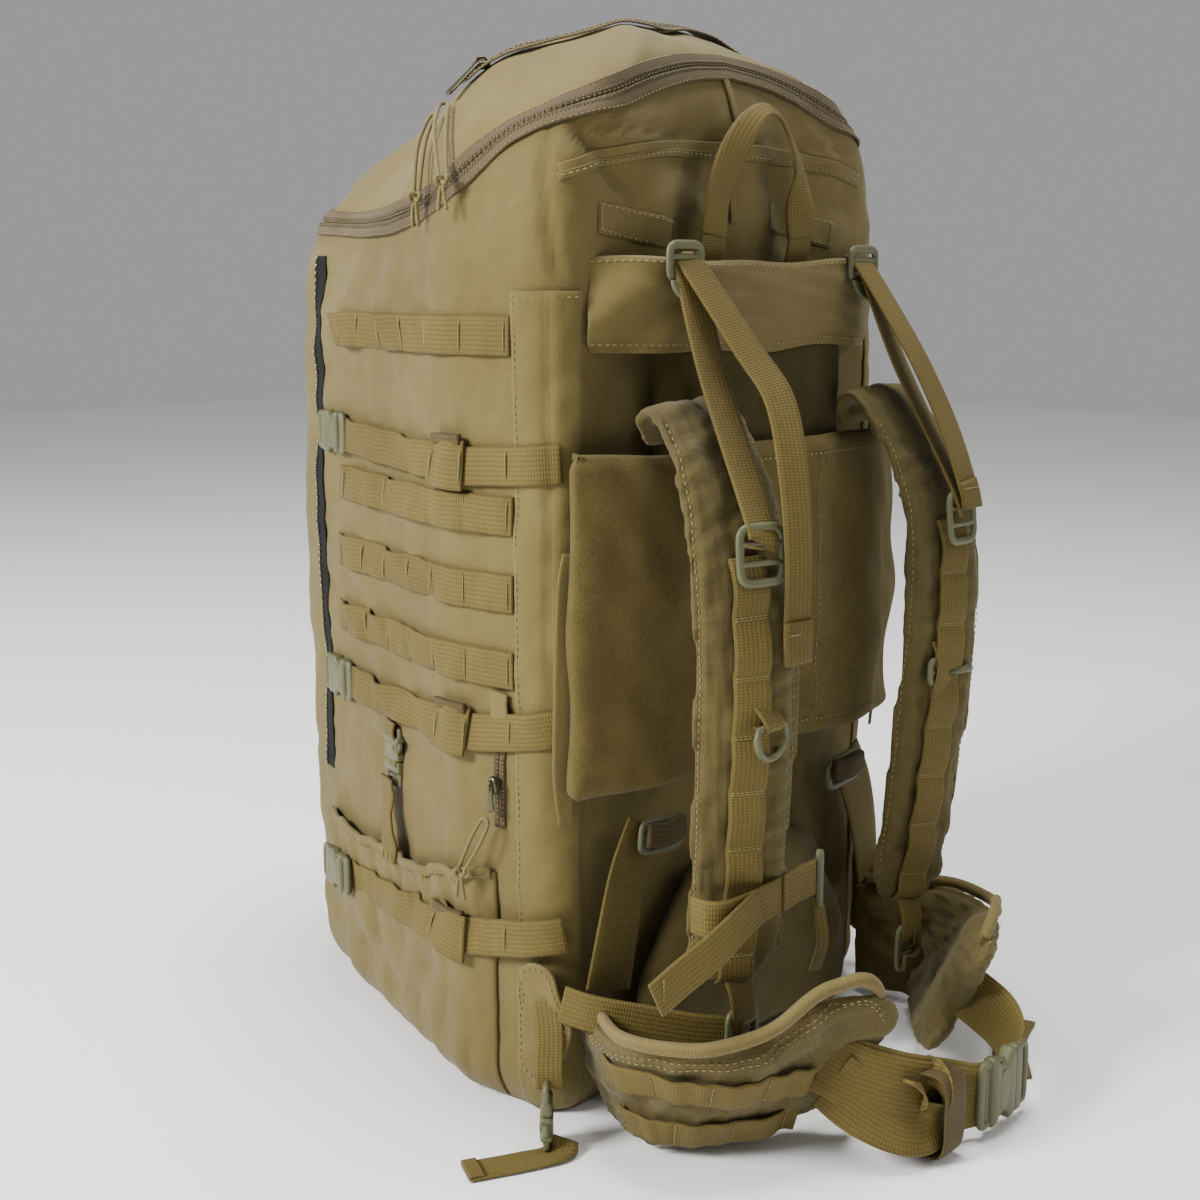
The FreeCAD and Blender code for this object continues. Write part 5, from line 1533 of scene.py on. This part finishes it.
def hip_belt():
    for side, word in LEFT_RIGHT:
        u = np.linspace(0.0, 1, 70)
        low, high = BELT_LOW(u) + 1.5, BELT_TOP(u)
        centres, outs = wing_lines(side, u, (low + high) / 2)
        foot, _ = wing_lines(side, u, low)
        brim, _ = wing_lines(side, u, high)
        width = np.linalg.norm(brim - foot, axis=1) - 3
        inner = centres - outs * 7.5
        piece = padded_strap(f"hip_wing_cloth_{word}", inner, outs, width, 12, 5, FOAM_CLOTH,
                             grooves=((8, 1.6),), wrinkle=0.8, seed=95 + side)

        def keep_above(points):
            points[:, 2] = np.maximum(points[:, 2], 0.4)
            return points

        work(piece, keep_above)
        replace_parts(piece, f"hip_wing_{word}")
        tree = surface_of(piece)
        rim_u = np.linspace(0.02, 0.985, 120)
        rim, rim_out = wing_lines(side, rim_u, BELT_TOP(rim_u) - 2)
        rim = rim - rim_out * 7.5
        tube(f"belt_binding_{word}", spline(rim + [0, 0, 1.5], 160), 3.8, BINDING, "bag", sides=12,
             flat=1.25)
        for drop in (10, 13):
            line_points, line_outs = wing_lines(side, rim_u, BELT_TOP(rim_u) - drop)
            seams.line(lay_on(tree, line_points, line_outs, 0.4), line_outs)
        for row, (z, start, end) in enumerate(((62, 0.20, 0.80), (24, 0.22, 0.78))):
            row_u = np.linspace(start, end, 150)
            line_points, line_outs = wing_lines(side, row_u, np.full(150, float(z)))
            base = lay_on(tree, line_points, line_outs, 1.4)
            run = run_along(base)
            lifted = base + line_outs * (2.0 * np.abs(np.sin(run / TACK_PITCH * math.pi)) ** 0.8)[:, None]
            ribbon(f"belt_row_{word}_{row + 1}", lifted, line_outs, WEB, 2.1, WEBBING, "bag")
            _, across, outward = frames(base, line_outs)
            for k in range(int(run[-1] / TACK_PITCH) + 1):
                index = int(np.argmin(np.abs(run - min(k * TACK_PITCH + 0.5, run[-1]))))
                seams.row(base[index] + outward[index] * 1.6, TACK_CELLS * across[index], outward[index])


hip_belt()


def belt_front():
    """The wide belt webbing, folded into a bundle on the left, and the right tail on the floor."""
    for level, (lift, wide, out) in enumerate(((50, 44, 0), (52, 43, 4), (49, 42, 8))):
        rows = [(-92, -262 - out, lift + 22, -0.6, -0.8, 0, wide),
                (-82, -281 - out, lift + 13, -0.5, -0.9, 0, wide),
                (-60, -302 - out * 0.8, lift + 2, -0.4, -1, 0.1, wide),
                (-28, -315 - out * 0.6, lift - 10, -0.1, -1, 0, wide),
                (-8, -322 - out * 0.4, lift - 18, 0, -1, 0, wide),
                (6, -331 - out * 0.2, lift - 19, 0, -1, 0, wide)]
        strap(f"belt_bundle_{level + 1}", rows, 48, thick=2.4)
    strap("belt_bundle_fold", [(-90, -277, 58, -0.9, -0.5, 0, 44), (-78, -298, 42, -0.7, -0.9, 0.3, 42),
                               (-60, -314, 27, -0.3, -1, 0.6, 36), (-42, -322, 26, 0.2, -1, 0.5, 34),
                               (-30, -324, 38, 0.6, -0.8, 0, 34), (-38, -318, 50, 0.9, -0.3, -0.4, 36),
                               (-56, -306, 56, 0.3, -0.5, -0.9, 38)], 44, thick=2.4)
    strap("belt_keeper", [(-34, -308, 58, 0, 0, 1), (-34, -331, 58, 0, -0.7, 0.7), (-33, -334, 32, 0, -1, 0),
                          (-34, -331, 6, 0, -0.7, -0.7), (-34, -308, 5, 0, 0, -1)], 24, DARK_WEBBING)
    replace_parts(bpy.data.objects["belt_bundle_1"], "belt_webbing_left")
    strap("belt_right", [(52, -333, 31, 0, -1, 0, 44), (60, -329, 33, 0.3, -0.95, 0, 44),
                         (70, -316, 42, 0.8, -0.6, -0.2, 42), (75, -300, 54, 0.85, -0.3, -0.4, 40),
                         (72, -273, 69, 0.8, -0.3, -0.5, 38)], 44, body=None, thick=2.4)
    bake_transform(bpy.data.objects["belt_right"])
    strap("belt_right_tail", [(96, -306, 2, 0, 0, 1), (122, -288, 2, 0, 0, 1), (150, -272, 2, 0, 0, 1),
                              (182, -262, 2, 0, 0, 1)], 25)
    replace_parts(bpy.data.objects["belt_right"], "belt_webbing_right")


belt_front()


# ------------------------------------------------------------------ grab handle
def grab_handle():
    low, high = cad("grab_handle")
    y = (low[1] + high[1]) / 2
    top, bottom, half = high[2], low[2], high[0]
    rows = [(-half + 2, y, bottom + 1, 0, -1, 0, 25), (-half + 7, y - 2, bottom + 34, 0.1, -1, 0.1, 25),
            (-half + 26, y - 3, top - 22, -0.2, -0.9, 0.3, 20), (2, y - 1, top - 3, -0.3, -0.6, 0.7, 14),
            (24, y, top - 8, 0.3, -0.7, 0.6, 13), (half - 8, y - 1, top - 36, 0.4, -0.9, 0.1, 18),
            (half - 5, y - 1, bottom + 22, -0.2, -1, 0, 25), (half - 3, y, bottom + 1, 0, -1, 0, 25)]
    centres, faces = strap("grab_handle_webbing", rows, 25, body="grab_handle", thick=2.6, count=110)
    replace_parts(bpy.data.objects["grab_handle_webbing"], "grab_handle")


grab_handle()


def back_details():
    """Seams, stitched reinforcements and webbing feet on the upper back, and the flap behind the sleeve."""
    route = [(172, 628), (140, 638), (100, 645), (60, 648), (0, 649), (-60, 648), (-116, 644), (-150, 636)]
    strap_on_skin("back_seam", route, 7, 0.6, CLOTH, thick=1.4)
    _, centres, outs = strap_on_skin("back_seam_fold", [(s, z - 4.5) for s, z in route], 5, 0.4, CLOTH)
    seams.line(centres + outs * 1.6, outs)
    strap_on_skin("back_rise_seam", [(8, 694), (7, 675), (6, 655), (7, 630), (8, 600)], 5, 0.5, CLOTH)
    for word, patch in (("left", [(140, 600), (104, 595), (64, 590)]),
                        ("right", [(-34, 606), (-70, 600), (-106, 594)])):
        _, centres, outs = strap_on_skin(f"back_patch_{word}", patch, 20, 0.2, CLOTH, thick=1.2)
        _, across, outward = frames(centres, outs)
        for edge in (-8, 8):
            seams.line(centres + across * edge + outward * 1.4, outward)
        for end in (2, -3):
            place = centres[end] + outward[end] * 1.4
            cells = np.linspace(-8, 8, 6)[:, None] * across[end] + np.linspace(-4, 4, 6)[:, None] * [0, 0,
                                                                                                     0.01]
            seams.row(place, cells, outward[end])
    low, high = cad("grab_handle")
    for word, x in (("left", low[0] + 2), ("right", high[0] - 3)):
        strap(f"handle_foot_{word}", [(x, -136, low[2] + 1.5, 0, -1, 0),
              (x, -134, low[2] - 10, 0, -1, 0), (x, -127, low[2] - 32, 0, -1, 0)], 25, thick=2.2)
    for side, word in LEFT_RIGHT:
        strap(f"sleeve_flap_{word}", mirror(side, [
            (172, -122, 392, 0.5, -0.9, 0, 6), (175, -123, 370, 0.4, -0.9, 0, 11),
            (177, -124, 320, 0.4, -0.9, 0, 14), (177, -123, 250, 0.4, -0.9, 0, 15),
            (174, -122, 214, 0.5, -0.9, 0, 10)]), 24, CLOTH, thick=2.0)
    strap_on_skin("side_zip_flap", [(s_at(-70), 296), (s_at(-70), 276), (s_at(-71), 258)], 16, 4.0,
                  SIDE_CLOTH,
                  thick=1.6)


back_details()

# ------------------------------------------------------------------ pull cords, knots and small CAD pieces
CORD_WIDE = 0.0026
LID_CORD_A = [(-0.1926, -0.03, 0.6267), (-0.1779, -0.0082, 0.6545), (-0.1615, 0.0061, 0.6695),
              (-0.1512, 0.0141, 0.677), (-0.1468, 0.0099, 0.677), (-0.1565, 0.0013, 0.6695),
              (-0.1721, -0.0138, 0.6545), (-0.189, -0.0334, 0.6267)]
LID_CORD_B = [(-0.1805, 0.0031, 0.6184), (-0.173, 0.0071, 0.6473), (-0.1604, 0.0114, 0.6654),
              (-0.1535, 0.0146, 0.671), (-0.1535, 0.0204, 0.6698), (-0.1604, 0.0182, 0.664),
              (-0.173, 0.0149, 0.6457), (-0.1805, 0.0081, 0.6173)]
SIDE_CORD = [(-0.1997, -0.0512, 0.1719), (-0.1968, -0.0615, 0.1885), (-0.1947, -0.0672, 0.2012),
             (-0.1935, -0.0698, 0.2086), (-0.1935, -0.0642, 0.2114), (-0.1947, -0.06, 0.2047),
             (-0.1968, -0.0535, 0.1925), (-0.1997, -0.0467, 0.1741)]


def pull_knot(name, place, body, seed):
    """An overhand knot of the cord with its two cut ends."""
    turn = np.linspace(0, 2 * math.pi, 60)
    knot = np.column_stack([2.2 * np.sin(turn) + 2.6 * np.sin(2 * turn),
                            1.9 * np.cos(turn) - 2.4 * np.cos(2 * turn),
                            -2.4 * np.sin(3 * turn)]) * 0.9
    parts = [tube(name, np.array(place) + knot[:-1], 1.5, CORD, None, closed=True)]
    for side in (-1, 1):
        rows = [(place[0], place[1] + side * 0.8, place[2] - 2),
                (place[0] - 1, place[1] + side * 2.0, place[2] - 8),
                (place[0] - 0.5, place[1] + side * (3.0 + seed % 2), place[2] - 19)]
        parts.append(tube(name + "_end", spline(rows, 14), 1.3, CORD, None))
    return join(name, parts, body)


def pull_cord(name, route, body, node):
    line = bpy.data.curves.new(name, "CURVE")
    line.dimensions = "3D"
    line.bevel_depth = CORD_WIDE / 2
    line.bevel_resolution = 4
    thread = line.splines.new("NURBS")
    thread.points.add(len(route) - 1)
    for point, place in zip(thread.points, route):
        point.co = (*place, 1)
    thread.order_u = 3
    thread.use_endpoint_u = True
    thread.resolution_u = 8
    piece = add_object(name, line)
    line.materials.append(CORD)
    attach(piece, body)
    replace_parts(piece, node)


knot_a = pull_knot("lid_knot_a", (-193, -34, 624), "lid_slider", 1)
knot_b = pull_knot("lid_knot_b", (-182, 5, 615), "lid_slider", 2)
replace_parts(knot_a, "lid_pull_knots")
side_knot = pull_knot("side_knot", (-200, -48, 171), "side_slider", 3)
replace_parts(side_knot, "side_pull_knot")
pull_cord("lid_cord_a", LID_CORD_A, "lid_slider", "lid_pull_cord_a")
pull_cord("lid_cord_b", LID_CORD_B, "lid_slider", "lid_pull_cord_b")
pull_cord("side_cord", SIDE_CORD, "side_slider", "side_pull_cord")


def buckles():
    """Every side-release buckle: the compression straps', the pockets', the corners' and the waist's."""
    forward = unit((0.29881, 0.95432, 0))
    outward = (-forward[1], forward[0], 0)
    for word in ("upper", "middle", "lower"):
        mouth = np.mean(cad(f"{word}_plug"), axis=0) + forward * 0.8
        buckle_socket(f"{word}_socket", mouth, -forward, outward, 32, 30, 10, "bag", "compression_sockets")
        buckle_plug(f"{word}_plug_body", mouth, -forward, outward, 30.5, 21, 20, 9.4, f"{word}_plug",
                    f"{word}_plug")
    for side, word in LEFT_RIGHT:
        node = f"pocket_plug_{word}"
        mouth = np.array([*centre_of(node)[:2], cad(node)[1][2] - 16])
        wall = skin_out(-side * s_at(mouth[1]), mouth[2])
        wall = unit((wall[0], wall[1], 0))
        buckle_socket(f"pocket_socket_{word}", mouth, (0, 0, 1), wall, 24, 24, 8.6, "bag", "pocket_sockets")
        buckle_plug(f"pocket_plug_body_{word}", mouth, (0, 0, 1), wall, 23, 16, 20, 8, f"pocket_plug_{word}",
                    f"pocket_plug_{word}")
        node = f"corner_plug_{word}"
        mouth = np.array([*centre_of(node)[:2], cad(node)[1][2] - 20])
        facing = (side * 0.68, 0.73, 0)
        buckle_socket(f"corner_socket_{word}", mouth, (0, 0, -1), facing, 24, 23.4, 9, "bag",
                      "corner_sockets")
        buckle_plug(f"corner_plug_body_{word}", mouth, (0, 0, -1), facing, 23, 16, 20, 8.4,
                    f"corner_plug_{word}",
                    f"corner_plug_{word}")
    mouth = np.array([cad("waist_socket")[1][0], *centre_of("waist_socket")[1:]])
    buckle_socket("waist_socket_body", mouth, (-1, 0, 0), (0, -1, 0), 50, 38, 12, "bag", "waist_socket")
    buckle_plug("waist_plug_body", mouth, (-1, 0, 0), (0, -1, 0), 48, 28, 20, 11, "waist_plug", "waist_plug")


buckles()


def zip_slider(name, centre, along, out, pull_end, body, node):
    """A cast slider with its bridge, and a tapered pull."""
    centre, along, out = np.asarray(centre, float), unit(along), unit(out)
    shape = [(0, 2.0, 1.4, 0.8), (1.2, 3.8, 2.5, 0.6), (4, 4.2, 2.9, 0.5), (8, 3.7, 2.9, 0.5),
             (11, 2.8, 2.5, 0.6),
             (12, 1.2, 1.2, 0.9)]
    parts = [loft(name, centre - along * 6, along, out, shape, METAL)]
    bridge = spline([centre - along * 4 + out * 2.4, centre - along * 2 + out * 4.6,
                     centre + along * 2 + out * 4.6,
                     centre + along * 4 + out * 2.4], 14)
    parts.append(tube(name + "_bridge", bridge, 0.9, METAL, None))
    start = centre + out * 3.6
    pull = np.asarray(pull_end, float) - start
    reach = np.linalg.norm(pull)
    side_way = unit(np.cross(pull, np.cross(out, pull)))
    plate = [(0, 1.6, 0.6, 0.6), (1, 2.2, 0.9, 0.5), (reach * 0.5, 2.0, 0.9, 0.5),
             (reach * 0.85, 2.9, 0.9, 0.5),
             (reach - 1, 2.4, 0.9, 0.5), (reach, 1.4, 0.5, 0.7)]
    parts.append(loft(name + "_pull", start, pull, side_way, plate, METAL))
    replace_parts(join(name, parts, body), node)


slider_low, slider_high = cad("lid_slider")
slider_y = centre_of("lid_slider")[1]
zip_slider("lid_zip_slider", (slider_high[0] - 6, slider_y, slider_high[2] - 3.5), (0.85, -0.5, 0.15),
           (-0.25, -0.1, 1), (slider_low[0] + 1, slider_y, slider_low[2] + 2), "lid_slider", "lid_slider")
side_low, side_high = cad("side_slider")
side_y = centre_of("side_slider")[1]
zip_slider("side_zip_slider", (side_high[0] - 2.6, side_y, side_high[2] - 7), (0, 0, 1), (-1, -0.15, 0),
           (side_low[0] + 0.6, side_y, side_low[2] + 1), "side_slider", "side_slider")
WELD_WITHIN, EDGE_ROUND = 0.00002, 0.0011  # metres


def finish_cad_nodes():
    """Carried-over CAD pieces get their materials and soft moulded edges."""
    finishes = {"lid_slider": METAL, "side_slider": METAL, "frame_sheet": SHEET_PLASTIC,
                "frame_stays": STAY_METAL}
    for name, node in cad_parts.items():
        if node.hide_render:
            continue
        node.data.materials.clear()
        node.data.materials.append(finishes.get(name, PLASTIC))
        weld = node.modifiers.new("weld", "WELD")
        weld.merge_threshold = WELD_WITHIN
        bevel = node.modifiers.new("edges", "BEVEL")
        bevel.width = EDGE_ROUND
        bevel.segments = 3
        bevel.limit_method = "ANGLE"
        bevel.angle_limit = math.radians(35)


finish_cad_nodes()
seams.finish("stitching", THREAD, "cloth")

# ------------------------------------------------------------------ stage, lights and camera
def stage():
    """A plain pale floor, soft studio light and the camera."""
    size = 6.0
    corners = [(-size, -size, 0), (size, -size, 0), (size, size, 0), (-size, size, 0)]
    mesh = bpy.data.meshes.new("floor")
    mesh.from_pydata(corners, [], [(0, 1, 2, 3)])
    floor = add_object("floor", mesh)
    paint, tree, _ = shader("floor_paint", 0.9, Specular_IOR_Level=0.1)
    tree.nodes["Principled BSDF"].inputs["Base Color"].default_value = (0.93, 0.93, 0.92, 1)
    floor.data.materials.append(paint)
    world = bpy.data.worlds.new("studio")
    world.use_nodes = True
    world.node_tree.nodes["Background"].inputs["Color"].default_value = (1.0, 1.0, 1.0, 1)
    world.node_tree.nodes["Background"].inputs["Strength"].default_value = 0.36
    bpy.context.scene.world = world
    target = Vector((0, -0.02, 0.36))
    lights = [("key", (-2.5, 0.75, 1.8), 0.9, 150), ("fill", (1.2, -2.4, 1.6), 1.0, 16),
              ("top", (0.1, -0.1, 2.8), 0.9, 72), ("rim", (-1.2, 2.2, 1.2), 1.2, 12)]
    for name, place, wide, watts in lights:
        data = bpy.data.lights.new(name, "AREA")
        data.size = wide
        data.energy = watts
        lamp = add_object(name, data)
        lamp.location = place
        lamp.rotation_euler = (target - Vector(place)).to_track_quat("-Z", "Y").to_euler()
    lens = bpy.data.cameras.new("camera")
    lens.lens = 49.65
    lens.sensor_width = 36
    camera = add_object("camera", lens)
    camera.location = (-0.910, -0.841, 0.559)
    camera.rotation_euler = (math.radians(79.2), 0, math.radians(-46.9))
    bpy.context.scene.camera = camera


stage()
